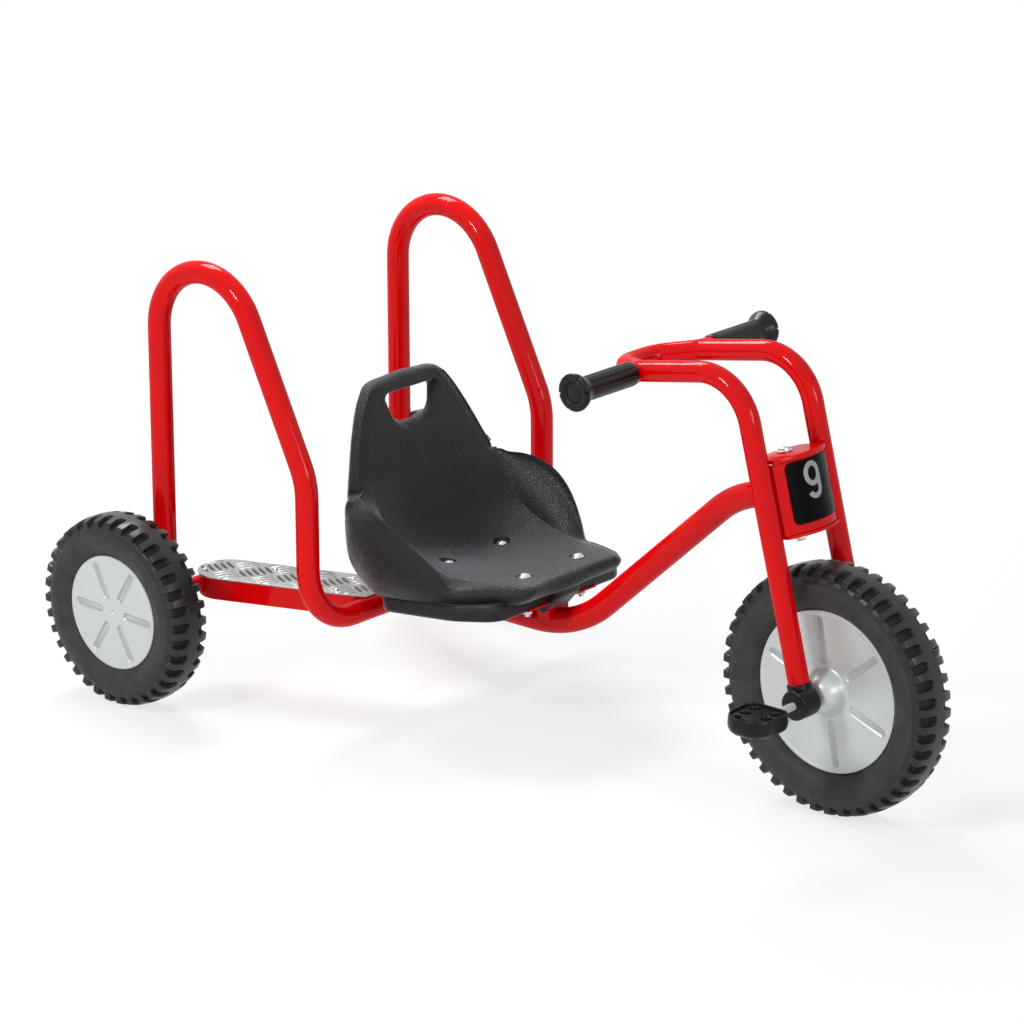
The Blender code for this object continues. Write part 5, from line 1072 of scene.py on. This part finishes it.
class KART_OT_fork(bpy.types.Operator):
    """Adds the fork legs, the handlebar, the head box and the pivot bolt"""

    bl_idname = "kart.fork"
    bl_label = "Fork and handlebar"

    def execute(self, context):
        sizes = context.scene.kart_tubes
        paint = red_paint()
        bar = tube(handlebar_path(), sizes.fork_radius, sizes.sides, UPWARD)
        put("handlebar_tube", bar, paint, ["handlebar"])
        cheeks = []
        for label, side in SIDES:
            leg = tube(fork_path(side), sizes.fork_radius, sizes.sides)
            put(f"leg_{label}", leg, paint, [f"fork_leg_{label}"])
            near, far = side * 0.0470, side * 0.0505
            corners = [(0.008, near), (0.008, far), (0.0185, far), (0.0185, near)]
            levels = slab_levels(-0.0445, 0.0445, 0.0004)
            cheeks.append(stacked(corners, levels, STEER_AXES, STEER_POINT))
        cover = together(panel(0.018, 0.0025, HEAD_HALF_WIDTH, -0.0447, 0.0449, 0.0006), *cheeks)
        put("head_cover", cover, paint, ["head_panel"])
        across = np.linspace(HEAD_HALF_WIDTH, -HEAD_HALF_WIDTH, 41)
        front = np.stack([0.0235 + head_bow(across), across], axis=1)
        rear = np.array([(-0.010, -0.040), (-0.0215, -0.021), (-0.0215, 0.021), (-0.010, 0.040)])
        outline = np.concatenate([front, rear])
        for name, low, high in (("top", 0.0448, 0.0512), ("bottom", -0.0487, -0.0448)):
            plate = stacked(outline, slab_levels(low, high, 0.0016), STEER_AXES, STEER_POINT)
            put(f"head_lid_{name}", plate, paint, [f"head_{name}_plate"])
        # The pivot bolt's radii and heights: domed head, washer and shank
        corners = [
            (0.0, 0.0578), (0.0068, 0.0568), (0.0068, 0.0530), (0.0098, 0.0530), (0.0098, 0.0514),
            (0.006, 0.0514), (0.006, -0.060), (0.0, -0.060),
        ]
        bolt = lathe(corners, (0.002, 0.0004, 0.0004, 0.0004, 0.0004, 0.001), STEER_POINT, STEER_AXES)
        put("pivot_pin", bolt, zinc(), ["pivot_bolt"])
        softened("pivot_nut", zinc())
        return {"FINISHED"}


def ring_gap(angle, count, radius, shift=0.5):
    """The distance round a circle from each angle to the nearest of some even marks."""
    return np.abs((angle * count / (2 * np.pi) + shift) % 1 - 0.5) * 2 * np.pi / count * radius


class KART_OT_grips(bpy.types.Operator):
    """Adds the ribbed grips with their notched flanges"""

    bl_idname = "kart.grips"
    bl_label = "Grips"

    def execute(self, context):
        """The grip's radius is a profile of y, less 0.9 mm in eight narrow lengthwise grooves and
        less 1.8 mm in the flange's six slits, which also run 1.4 mm deep over its face."""
        steps = 240
        angle = full_turn(steps)
        outer, inner, thick, rim = 0.1858, 0.0768, 0.0155, 0.0238
        # Radii and depths below the outer end, in millimetres: hollow middle, face, flange, neck
        flange = np.array([
            (0.0, 2.2), (10.8, 2.2), (11.8, 2.6), (12.6, 3.0), (13.4, 2.2), (14.2, 0.6), (15.2, 0.0),
            (18.4, 0.0), (19.0, 0.0), (21.8, 0.3), (23.2, 0.9), (23.8, 2.0), (23.8, 3.8), (23.4, 5.8),
            (22.4, 8.4), (20.8, 11.2), (18.9, 13.8), (17.2, 16.2), (16.0, 18.6), (15.5, 21.0),
        ]) / 1000
        body = np.stack([np.full(12, thick), np.linspace(outer - 0.024, inner + 0.005, 12)], axis=1)
        foot = [(0.0153, inner + 0.002), (0.0148, inner + 0.0006), (0.0142, inner), (0.0136, inner)]
        foot.append((0.0136, inner + 0.01))
        flange[:, 1] = outer - flange[:, 1]
        radii, along = np.concatenate([flange, body, np.array(foot)]).T
        groove = np.exp(-((ring_gap(angle, 8, thick) / 0.0008) ** 2))[None, :]
        on_body = np.clip((outer - 0.0185 - along) / 0.003, 0, 1)
        on_body = on_body * (along > inner + 0.003) * (radii > 0.015)
        slit = np.clip(1.6 - ring_gap(angle, 6, rim, 0.2) / 0.0008, 0, 1)[None, :]
        on_rim = ((radii > 0.0205) & (along > outer - 0.005))[:, None]
        on_face = ((radii > 0.0188) & (along > outer - 0.002))[:, None]
        along = along[:, None] - 0.0014 * slit * on_face
        radii = radii[:, None] - 0.0009 * groove * on_body[:, None] - 0.0018 * slit * on_rim
        for label, side in SIDES:
            centre = np.array([HANDLEBAR_X, 0.0, handlebar_z()])
            grip = turned(radii, along * side, centre, steps)
            put(f"grip_{label}_rubber", grip, smooth_plastic(), [f"grip_{label}"], 40.0)
        return {"FINISHED"}


def figure_nine():
    """A plain nine, 47 mm tall: an oval bowl, and a tail that drops from its right side and hooks.

    Each is a flat band whose rim is swept along the middle line: line + (q stroke / 2) normal,
    laid on the plate's bow."""
    centre, stroke = np.array([-0.0045, 0.0393]), 0.0065
    angle = np.linspace(0, 2 * np.pi, 65)[:-1]
    bowl = np.stack([10.15 * np.cos(angle), -15.5 + 12.15 * np.sin(angle)], axis=1) / 1000
    hook = np.linspace(0, -math.radians(152), 30)
    hook = np.stack([0.8 + 9.35 * np.cos(hook), -33.5 + 10.15 * np.sin(hook)], axis=1)
    drop = np.stack([np.full(8, 10.15), np.linspace(-15.5, -32.5, 8)], axis=1)
    tail = np.concatenate([drop, hook]) / 1000
    q = np.array([-1.0, -1.0, -0.97, 0.97, 1.0, 1.0]) * stroke / 2
    depth = np.array([0.0006, 0.00112, 0.00118, 0.00118, 0.00112, 0.0006])
    bands = []
    for line, closed, lift in ((bowl, True, 0.0), (tail, False, 0.00002)):
        if closed:
            ends = np.concatenate([line[-1:], line, line[:1]])
        else:
            ends = np.pad(line, ((1, 1), (0, 0)), "reflect", reflect_type="odd")
        way = unit(ends[2:] - ends[:-2])
        normal = np.stack([-way[:, 1], way[:, 0]], axis=1)
        flat = line[:, None] + normal[:, None] * q[:, None] + centre
        flat = flat if closed else capped(flat)
        across = flat[..., :1]
        forward = PLATE_BACK + head_bow(across) + (depth + lift)[:, None]
        points = STEER_POINT + forward * STEER_FORWARD + across * LEFTWARD + flat[..., 1:] * STEER_UP
        bands.append(surface(points, round_rows=closed, round_cols=True))
    return together(*bands)


class KART_OT_number_plate(bpy.types.Operator):
    """Adds the number plate with a plain figure"""

    bl_idname = "kart.number_plate"
    bl_label = "Number plate"

    def execute(self, context):
        plate = panel(PLATE_BACK, 0.001, 0.0395, -0.034, 0.043, PLATE_CORNER, 0.0003)
        put("plate", plate, plate_black(), ["number_plate"], 30.0)
        put("plate_figure", figure_nine(), figure_grey(), body="fork")
        return {"FINISHED"}


class KART_OT_bearing_blocks(bpy.types.Operator):
    """Adds the bearing blocks at the fork's feet: a barrel, its collar and the parting line"""

    bl_idname = "kart.bearing_blocks"
    bl_label = "Bearing blocks"

    def execute(self, context):
        """The barrel's and the collar's radius is a profile, less 0.8 mm within the narrow parting
        line."""
        steps, depth, width = 240, 0.0008, 0.0007
        angle = full_turn(steps)
        line = depth * np.exp(-((np.abs(np.sin(angle)) * 0.019 / width) ** 2))
        notch = depth * np.exp(-((np.cos(angle) * 0.0171 / width) ** 2))
        corners = [(0.0054, 0.084), (0.019, 0.084), (0.019, 0.048), (0.0054, 0.048)]
        profile = rounded_path(corners, (0.003, 0.008), 8)
        on_face = (profile[:, 1:] > 0.0832) & (profile[:, :1] > 0.006)
        corners = [(0.0137, -0.012), (0.0155, -0.012), (0.0155, 0.0115), (0.0137, 0.0115)]
        shape = rounded_path(corners, (0.001, 0.0015), 15)
        for label, side in SIDES:
            radii = profile[:, :1] - line[None, :]
            along = (profile[:, 1:] - line[None, :] * on_face) * side
            axes = (STEER_UP, STEER_FORWARD, LEFTWARD)
            barrel = turned(radii, along, FRONT_AXLE, steps, axes, closed=True)
            path = fork_path(side)
            foot, along_leg = path[0], unit(path[1] - path[0])
            axes = (np.cross(along_leg, LEFTWARD), LEFTWARD, along_leg)
            collar = turned(shape[:, :1] - notch[None, :], shape[:, 1], foot, steps, axes, closed=True)
            nodes = [f"bearing_half_{place}_{label}" for place in ("front", "rear")]
            put(f"bearing_{label}", together(barrel, collar), smooth_plastic(), nodes, 30.0)
        return {"FINISHED"}


class KART_OT_pedals(bpy.types.Operator):
    """Adds the pedals, with sunk treads and six holes each, and their nuts"""

    bl_idname = "kart.pedals"
    bl_label = "Pedals"

    def execute(self, context):
        inner, outer, half = 0.1235, 0.1885, 0.0318
        corners = [(-half, inner), (-half, outer), (half, outer), (half, inner)]
        outline = rounded_outline(corners, (0.0145, 0.027, 0.027, 0.0145), 5)
        # Insets and heights from the sunk tread, over the thin rim and down the bulging wall
        levels = [
            (0.0036, 0.0088), (0.0035, 0.0110), (0.0031, 0.0118), (0.0023, 0.0120), (0.0015, 0.0118),
            (0.0010, 0.0108), (0.0004, 0.0070), (0.0, 0.0020), (0.0001, -0.0020), (0.0008, -0.0052),
            (0.0024, -0.0083), (0.0050, -0.0107), (0.0085, -0.0119), (0.0120, -0.0120),
        ]
        hole_radii = [0.0, 0.0068, 0.0068, 0.0076, 0.0]
        hole_heights = [-0.02, -0.02, 0.0080, 0.0092, 0.0092]
        rear, front = outer - 0.0125, outer - 0.0036
        pocket = [(-0.0135, rear), (-0.0115, front), (0.0115, front), (0.0135, rear)]
        pocket = rounded_outline(pocket, (0.002, 0.005, 0.005, 0.002), 15)
        for label, side in SIDES:
            block = stacked(outline * (1.0, side), levels, origin=FRONT_AXLE)
            nodes = [f"pedal_{label}"]
            pedal = put(f"pedal_{label}_block", block, smooth_plastic(), nodes, 40.0)
            middle = (inner + outer) / 2 * side
            holes = []
            for across in (-0.016, 0.016):
                for step in (-1, 0, 1):
                    at = FRONT_AXLE + np.array([across, middle + step * 0.0186 * side, 0.0])
                    holes.append(turned(hole_radii, hole_heights, at, 28, LEVEL_AXES))
            cut(pedal, together(*holes))
            cut(pedal, stacked(pocket * (1.0, side), [(0.0, -0.008), (0.0, 0.02)], origin=FRONT_AXLE))
            softened(f"pedal_nut_{label}", zinc(), 0.0003)
        return {"FINISHED"}


# Wheels

def tyre(centre, radius, rim, lugs, face, lug_depth):
    """A tyre with two staggered rows of shoulder lugs.

    A lug's section and a groove's section share their profile places; every point is
    groove + (lug - groove) w, where w falls from 1 to 0 across a lug's flank. A groove begins
    beside the tread's middle band at a third of its width and spreads to all of it. Both
    sections hold distances from the middle plane and depths below the lugs, in millimetres."""
    lug = np.array([
        (0.0, 0.0), (2.5, 0.0), (5.0, 0.0), (6.6, 0.05), (7.0, 0.1), (7.4, 0.12), (8.2, 0.18),
        (8.8, 0.22), (10.0, 0.3), (12.0, 0.5), (15.0, 0.95), (18.0, 1.6), (21.0, 2.4), (24.0, 3.4),
        (26.2, 4.3), (26.9, 4.75), (27.2, 5.2), (27.5, 7.5), (27.9, 10.5), (28.1, 12.6), (28.0, 13.4),
        (27.6, 14.2), (27.9, 15.6),
    ]) / 1000
    groove = np.array([
        (0.0, 0.0), (2.5, 0.0), (5.0, 0.0), (6.6, 0.05), (7.0, 0.35), (7.2, 1.0), (7.9, 4.4),
        (8.5, 5.6), (10.0, 6.4), (12.0, 6.9), (15.0, 7.5), (18.0, 8.2), (20.3, 9.0), (22.2, 9.9),
        (23.6, 10.8), (24.2, 11.2), (24.7, 11.6), (25.4, 12.3), (26.1, 13.1), (26.6, 13.8), (26.9, 14.3),
        (27.2, 14.9), (27.9, 16.2),
    ]) / 1000
    groove[:, 1] *= lug_depth / LUG_DEPTH
    band = 4  # the first places, which no groove reaches
    flange = rim + RIM_FLANGE
    side_r = flange + 0.012
    # From below the lugs down the side, round the rim's flange and across the bead
    low = np.array([
        (0.0294, 0.021), (0.0302, 0.025), (0.0305, 0.029), (0.0303, 0.034),
        (0.0296, radius - side_r - 0.004), (0.0284, radius - side_r + 0.001),
        (0.0262, radius - flange - 0.0075),
        (0.0232 if face > 0.02 else 0.0215, radius - flange - 0.0035),
        (face - 0.0005, radius - flange - 0.0008),
        (face - 0.003, radius - flange + 0.0003), (0.0, radius - rim),
    ])
    share = np.clip(0.36 + 0.64 * (lug[:, 0] - 0.007) / 0.0045, 0.36, 1.0)
    half = np.array([
        0, 0.07, 0.115, 0.14, 0.17, 0.195, 0.21, 0.225, 0.24, 0.26, 0.28, 0.30, 0.33, 0.36, 0.385, 0.44,
    ])
    phase = (np.arange(lugs * 2)[:, None] * 0.5 + half[None, :]).ravel()
    angle = -np.pi / 2 + 2 * np.pi * phase / lugs
    halves = []
    for side, shift in ((1.0, 0.0), (-1.0, 0.5)):
        place = np.abs((phase + shift + 0.5) % 1 - 0.5)[None, :]
        reach = 0.5 - 0.265 * share[:, None]
        w = np.interp(place - reach, [-0.035, -0.012, 0.015, 0.03], [1, 0.9, 0.05, 0])
        w[:band] = 1.0
        y = groove[:, :1] + (lug[:, :1] - groove[:, :1]) * w
        depth = groove[:, 1:] + (lug[:, 1:] - groove[:, 1:]) * w
        y = np.concatenate([y, np.repeat(low[:, :1], len(phase), axis=1)])
        r = radius - np.concatenate([depth, np.repeat(low[:, 1:], len(phase), axis=1)])
        halves.append(np.stack([r * np.cos(angle), side * y, r * np.sin(angle)], axis=-1))
    points = np.concatenate([halves[1][::-1], halves[0][1:]]) + centre
    return surface(points, round_rows=True, round_cols=True)


def disc(centre, side, face, rim, boss, sizes, turn):
    """A pressed disc: a profile turned about the axle, sunk in six round-ended radial grooves.

    A groove's depth is d (3 q^2 - 2 q^3), where q rises from 0 at its edge to 1 on its floor. The
    pattern is turned about the axle by some degrees. With a boss, the middle rises in a dome."""
    flange = rim + RIM_FLANGE
    steps = 360
    angle = full_turn(steps)
    # Radii, and heights over the disc's face: the rolled edge, the flat, the middle and the back
    edge = np.array([
        (flange - 0.0105, -0.0022), (rim - 0.002, -0.0022), (rim - 0.002, -face), (rim, -face),
        (rim, -0.006), (flange - 0.001, -0.0016), (flange, -0.0004), (flange - 0.0005, 0.0008),
        (flange - 0.002, 0.0014), (flange - 0.0035, 0.0012), (flange - 0.005, 0.0002),
        (flange - 0.0068, -0.0001),
    ])
    if boss:
        inner, start, end = 0.034, 0.036, flange - 0.0065
        middle = np.array([
            (0.0325, 0.0002), (0.031, 0.0012), (0.0295, 0.0035), (0.0275, 0.0085), (0.0245, 0.0150),
            (0.021, 0.0205), (0.017, 0.0240), (0.0125, 0.0258), (0.009, 0.0263), (0.0062, 0.0263),
            (0.0054, 0.0255),
        ])
        back = np.array([(0.0054, 0.0235), (0.022, 0.0170), (0.0290, -0.0022)])
    else:
        inner, start, end = 0.004, 0.018, flange - 0.0055
        middle = np.array([(0.0035, 0.0), (0.0028, -0.0010), (0.001, -0.0024), (0.0, -0.0024)])
        back = np.array([(0.0, -0.0036)])
    flat = np.linspace(flange - 0.0085, inner, 44)
    radii = np.concatenate([edge[:, 0], flat, middle[:, 0], back[:, 0]])
    out = np.concatenate([edge[:, 1], np.zeros(len(flat)), middle[:, 1], back[:, 1]])
    turn = math.radians(turn)
    spoke = np.round((angle - turn) / (np.pi / 3)) * (np.pi / 3) + turn
    across = radii[:, None] * np.sin(angle - spoke)[None, :]
    along = radii[:, None] * np.cos(angle - spoke)[None, :]
    nearest = np.clip(along, start + GROOVE_HALF_WIDTH, end - GROOVE_HALF_WIDTH)
    gap = np.hypot(across, along - nearest) / GROOVE_HALF_WIDTH
    q = np.clip((1 - gap) * 1.6, 0, 1)
    sunk = sizes.groove_depth * q**2 * (3 - 2 * q)
    front = np.zeros(len(radii))
    front[len(edge) : len(edge) + len(flat)] = 1
    y = face + out[:, None] - sunk * front[:, None]
    return turned(radii, side * y, centre, steps, closed=True)


def places_of(mesh):
    """The places of a mesh's points."""
    places = np.empty((len(mesh.vertices), 3), np.float32)
    mesh.vertices.foreach_get("co", places.ravel())
    return places


def from_axle(places, centre):
    """How far places lie from a wheel's axle."""
    return np.hypot(places[:, 0] - centre[0], places[:, 2] - centre[2])


def mark_groove(mesh, values):
    """The Groove attribute, which the tread's and the discs' materials read for their painted groove shade.
    """
    mesh.attributes.new("Groove", "FLOAT", "POINT").data.foreach_set("value", values.astype(np.float32))
    mesh.update()


def dust_sides(piece, centre, radius):
    """Marks each place's depth below the lugs, the mask of the tread's painted groove shade, and
    gives the side's faces the duller rubber.
    """
    mesh = piece.data
    mesh.materials.append(dusty_rubber())
    faces = np.empty((len(mesh.polygons), 3), np.float32)
    mesh.polygons.foreach_get("center", faces.ravel())
    on_side = from_axle(faces, centre) < radius - SIDE_DEPTH
    mesh.polygons.foreach_set("material_index", on_side.astype(np.int32))
    places = places_of(mesh)
    below = radius - from_axle(places, centre)
    across = np.abs(places[:, 1] - centre[1])
    # The lugs' own fall towards the shoulder, where they end
    shoulder = 0.0262
    crown = [0.0003, 0.0007, 0.0018, 0.0038, 0.0055]
    crown = np.interp(across, [0.007, 0.012, 0.018, 0.024, shoulder], crown)
    groove = np.clip((below - crown - 0.0022) / 0.003, 0, 1) * np.clip((shoulder - across) / 0.001, 0, 1)
    mark_groove(mesh, groove * (below < 0.015))


def put_disc(name, centre, side, face, rim, boss, sizes, turn, node):
    """A disc with each place's depth in its pressed grooves, which sets their painted shade."""
    piece = put(name, disc(centre, side, face, rim, boss, sizes, turn), disc_paint(), [node], 40.0)
    places = places_of(piece.data)
    reach = from_axle(places, centre)
    sunk = face - (places[:, 1] - centre[1]) * side
    on_face = (reach > (0.0355 if boss else 0.02)) & (reach < rim + RIM_FLANGE - 0.0085) & (sunk < 0.004)
    mark_groove(piece.data, np.clip(sunk / 0.0022 - 0.15, 0, 1) * on_face)


class KART_OT_wheels(bpy.types.Operator):
    """Adds the three wheels: tyres, pressed discs, hubs and the front axle"""

    bl_idname = "kart.wheels"
    bl_label = "Wheels"

    def execute(self, context):
        sizes = context.scene.kart_wheels
        front = (FRONT_AXLE, FRONT_TYRE_RADIUS, FRONT_RIM_RADIUS, sizes.front_lugs, FRONT_FACE)
        tread = put("tyre_front", tyre(*front, sizes.lug_depth), tyre_rubber(), ["front_tyre"], 32.0)
        dust_sides(tread, FRONT_AXLE, FRONT_TYRE_RADIUS)
        rod = [(0.0, 0.184), (0.005, 0.184), (0.005, -0.184), (0.0, -0.184)]
        rod = lathe(rod, (0.001, 0.001), FRONT_AXLE, steps=32)
        put("axle_front", rod, axle_grey(), ["front_axle"])
        radii, along = [0.0103, 0.0103, 0.0053, 0.0053], [0.015, -0.015, -0.015, 0.015]
        hub = turned(radii, along, FRONT_AXLE, 40, closed=True)
        put("hub_front", hub, zinc(), ["front_hub"])
        for label, side in SIDES:
            rim = (FRONT_FACE, FRONT_RIM_RADIUS, True, sizes, -9.0)
            put_disc(f"disc_front_{label}", FRONT_AXLE, side, *rim, f"front_disc_{label}")
            centre = np.array([REAR_AXLE_X, side * REAR_HALF_TRACK, REAR_TYRE_RADIUS])
            radius = REAR_TYRE_RADIUS - REAR_TYRE_TRIM
            rubber = tyre(centre, radius, REAR_RIM_RADIUS, sizes.rear_lugs, REAR_FACE, sizes.lug_depth)
            rubber = put(f"tyre_rear_{label}", rubber, tyre_rubber(), [f"rear_tyre_{label}"], 32.0)
            dust_sides(rubber, centre, REAR_TYRE_RADIUS)
            rim = (REAR_FACE, REAR_RIM_RADIUS, False, sizes, -28.0)
            put_disc(f"disc_rear_outer_{label}", centre, side, *rim, f"rear_disc_outer_{label}")
            put_disc(f"disc_rear_inner_{label}", centre, -side, *rim, f"rear_disc_inner_{label}")
            near, far = side * 0.020, -side * 0.0265
            sleeve = [(0.0074, near), (0.0124, near), (0.0124, far), (0.0074, far)]
            hub = lathe(sleeve, (0.0008, 0.0008), centre, closed=True)
            put(f"hub_rear_{label}", hub, smooth_plastic(), [f"rear_hub_{label}"])
        return {"FINISHED"}


# Stage

def placed(right, up, back, place):
    """A matrix that turns X, Y and Z to three directions and moves the origin to a place."""
    rows = [[*row, p] for row, p in zip(np.stack([right, up, back], axis=1), place)]
    return Matrix(rows + [[0, 0, 0, 1]])


def area_light(name, place, target, size, power, long=None):
    """A lamp that faces its target: a disk, or a strip along the horizontal when long is given."""
    data = bpy.data.lights.new(name, "AREA")
    data.shape = "RECTANGLE" if long else "DISK"
    data.size = long or size
    if long:
        data.size_y = size
    data.energy = power
    back = unit(np.array(place, float) - np.array(target, float))
    right = unit(np.cross(UPWARD, back))
    add_object(name, data).matrix_world = placed(right, np.cross(back, right), back, place)


def seen_white(tree):
    """1 for rays that come from the camera, off a glossy surface or through a clear one."""
    path = add_node(tree, "LightPath").outputs
    seen = path["Is Camera Ray"]
    for ray in ("Is Glossy Ray", "Is Transmission Ray"):
        seen = add_node(tree, "Math", {0: seen, 1: path[ray]}, operation="MAXIMUM").outputs[0]
    return seen


def show_white(tree, share, plain, white, out):
    """Shows white in place of the plain surface, by its share."""
    mix = add_node(tree, "MixShader", {"Fac": share, 1: plain, 2: white})
    add_node(tree, out, {"Surface": mix.outputs[0]})


class KART_OT_stage(bpy.types.Operator):
    """Adds the pale floor, the white surround, the soft lights and the camera"""

    bl_idname = "kart.stage"
    bl_label = "Stage"

    def execute(self, context):
        self.add_surround(context.scene)
        self.add_floor()
        area_light("Key", (-0.2, -2.6, 2.2), (0.0, 0.0, 0.25), 0.7, 50)
        area_light("Fill", (3.2, -0.4, 1.5), (0.0, 0.0, 0.25), 1.2, 27)
        area_light("Back", (-1.3, 0.35, 2.1), (0.1, 0.0, 0.4), 0.6, 46, 1.2)
        self.add_camera(context.scene)
        context.scene.view_settings.view_transform = "Standard"
        return {"FINISHED"}

    def add_surround(self, scene):
        """A soft surround that lights the kart evenly and looks white."""
        scene.world = bpy.data.worlds.new("Surround")
        scene.world.use_nodes = True
        tree = scene.world.node_tree
        tree.nodes.clear()
        soft = add_node(tree, "Background", {"Color": (0.95, 0.97, 1.0, 1), "Strength": 0.33})
        white = add_node(tree, "Background", {"Color": (1, 1, 1, 1)})
        show_white(tree, seen_white(tree), soft.outputs[0], white.outputs[0], "OutputWorld")

    def add_floor(self):
        """A pale disk that holds the shadow and fades to white away from the kart."""
        points, quads = turned([0.0, 4.0], [-0.0015, -0.0015], np.zeros(3), 96, LEVEL_AXES)
        mesh = bpy.data.meshes.new("floor")
        mesh.from_pydata(points.tolist(), [], quads.tolist())
        material = bpy.data.materials.new("Pale floor")
        material.use_nodes = True
        tree = material.node_tree
        tree.nodes.clear()
        matt = add_node(tree, "BsdfDiffuse", {"Color": (0.9, 0.9, 0.9, 1)})
        white = add_node(tree, "Emission")
        place = add_node(tree, "TexCoord").outputs["Object"]
        away = add_node(tree, "VectorMath", {0: place}, operation="LENGTH").outputs["Value"]
        fade = ramp(tree, away, 0.5, 1.3, 0.72, 1.0, interpolation_type="SMOOTHSTEP")
        share = add_node(tree, "Math", {0: fade, 1: seen_white(tree)}, operation="MULTIPLY").outputs[0]
        show_white(tree, share, matt.outputs[0], white.outputs[0], "OutputMaterial")
        mesh.materials.append(material)
        add_object("floor", mesh)

    def add_camera(self, scene):
        """The photograph's camera."""
        flat = math.cos(VIEW_RISE)
        back = np.array([flat * math.sin(VIEW_TURN), -flat * math.cos(VIEW_TURN), math.sin(VIEW_RISE)])
        right = np.array([math.cos(VIEW_TURN), math.sin(VIEW_TURN), 0.0])
        up = np.cross(back, right)
        across = right * math.cos(VIEW_ROLL) + up * math.sin(VIEW_ROLL)
        above = up * math.cos(VIEW_ROLL) - right * math.sin(VIEW_ROLL)
        data = bpy.data.cameras.new("Photo view")
        data.lens = VIEW_FOCAL * SENSOR_WIDTH / PICTURE_SIDE
        data.sensor_width = SENSOR_WIDTH
        data.shift_x, data.shift_y = -0.5 / PICTURE_SIDE, 0.4 / PICTURE_SIDE
        data.clip_end = 40
        scene.camera = add_object("Photo view", data)
        scene.camera.matrix_world = placed(across, above, back, VIEW_TARGET + back * VIEW_DISTANCE)


# Panel and registration

OPERATORS = (
    KART_OT_chassis,
    KART_OT_footboards,
    KART_OT_seat,
    KART_OT_fork,
    KART_OT_grips,
    KART_OT_number_plate,
    KART_OT_bearing_blocks,
    KART_OT_pedals,
    KART_OT_wheels,
    KART_OT_stage,
)
GROUPS = (
    ("kart_tubes", KartTubeSizes),
    ("kart_wheels", KartWheelSizes),
    ("kart_seat", KartSeatSizes),
    ("kart_colours", KartColours),
)


class KART_PT_pieces(bpy.types.Panel):
    """Lists the kart's pieces with their sizes and colours"""

    bl_label = "Ride-on kart"
    bl_space_type = "VIEW_3D"
    bl_region_type = "UI"
    bl_category = "Ride-on kart"

    def draw(self, context):
        for group, kind in GROUPS:
            box = self.layout.box()
            for name in kind.__annotations__:
                box.prop(getattr(context.scene, group), name)
        for operator in OPERATORS:
            self.layout.operator(operator.bl_idname)


def register():
    for _, kind in GROUPS:
        bpy.utils.register_class(kind)
    for operator in (*OPERATORS, KART_PT_pieces):
        bpy.utils.register_class(operator)
    for group, kind in GROUPS:
        setattr(bpy.types.Scene, group, PointerProperty(type=kind))


def unregister():
    for group, _ in GROUPS:
        delattr(bpy.types.Scene, group)
    for operator in (KART_PT_pieces, *reversed(OPERATORS)):
        bpy.utils.unregister_class(operator)
    for _, kind in reversed(GROUPS):
        bpy.utils.unregister_class(kind)


def main():
    register()
    for operator in OPERATORS:
        group, name = operator.bl_idname.split(".")
        getattr(getattr(bpy.ops, group), name)()


if __name__ == "__main__":
    main()
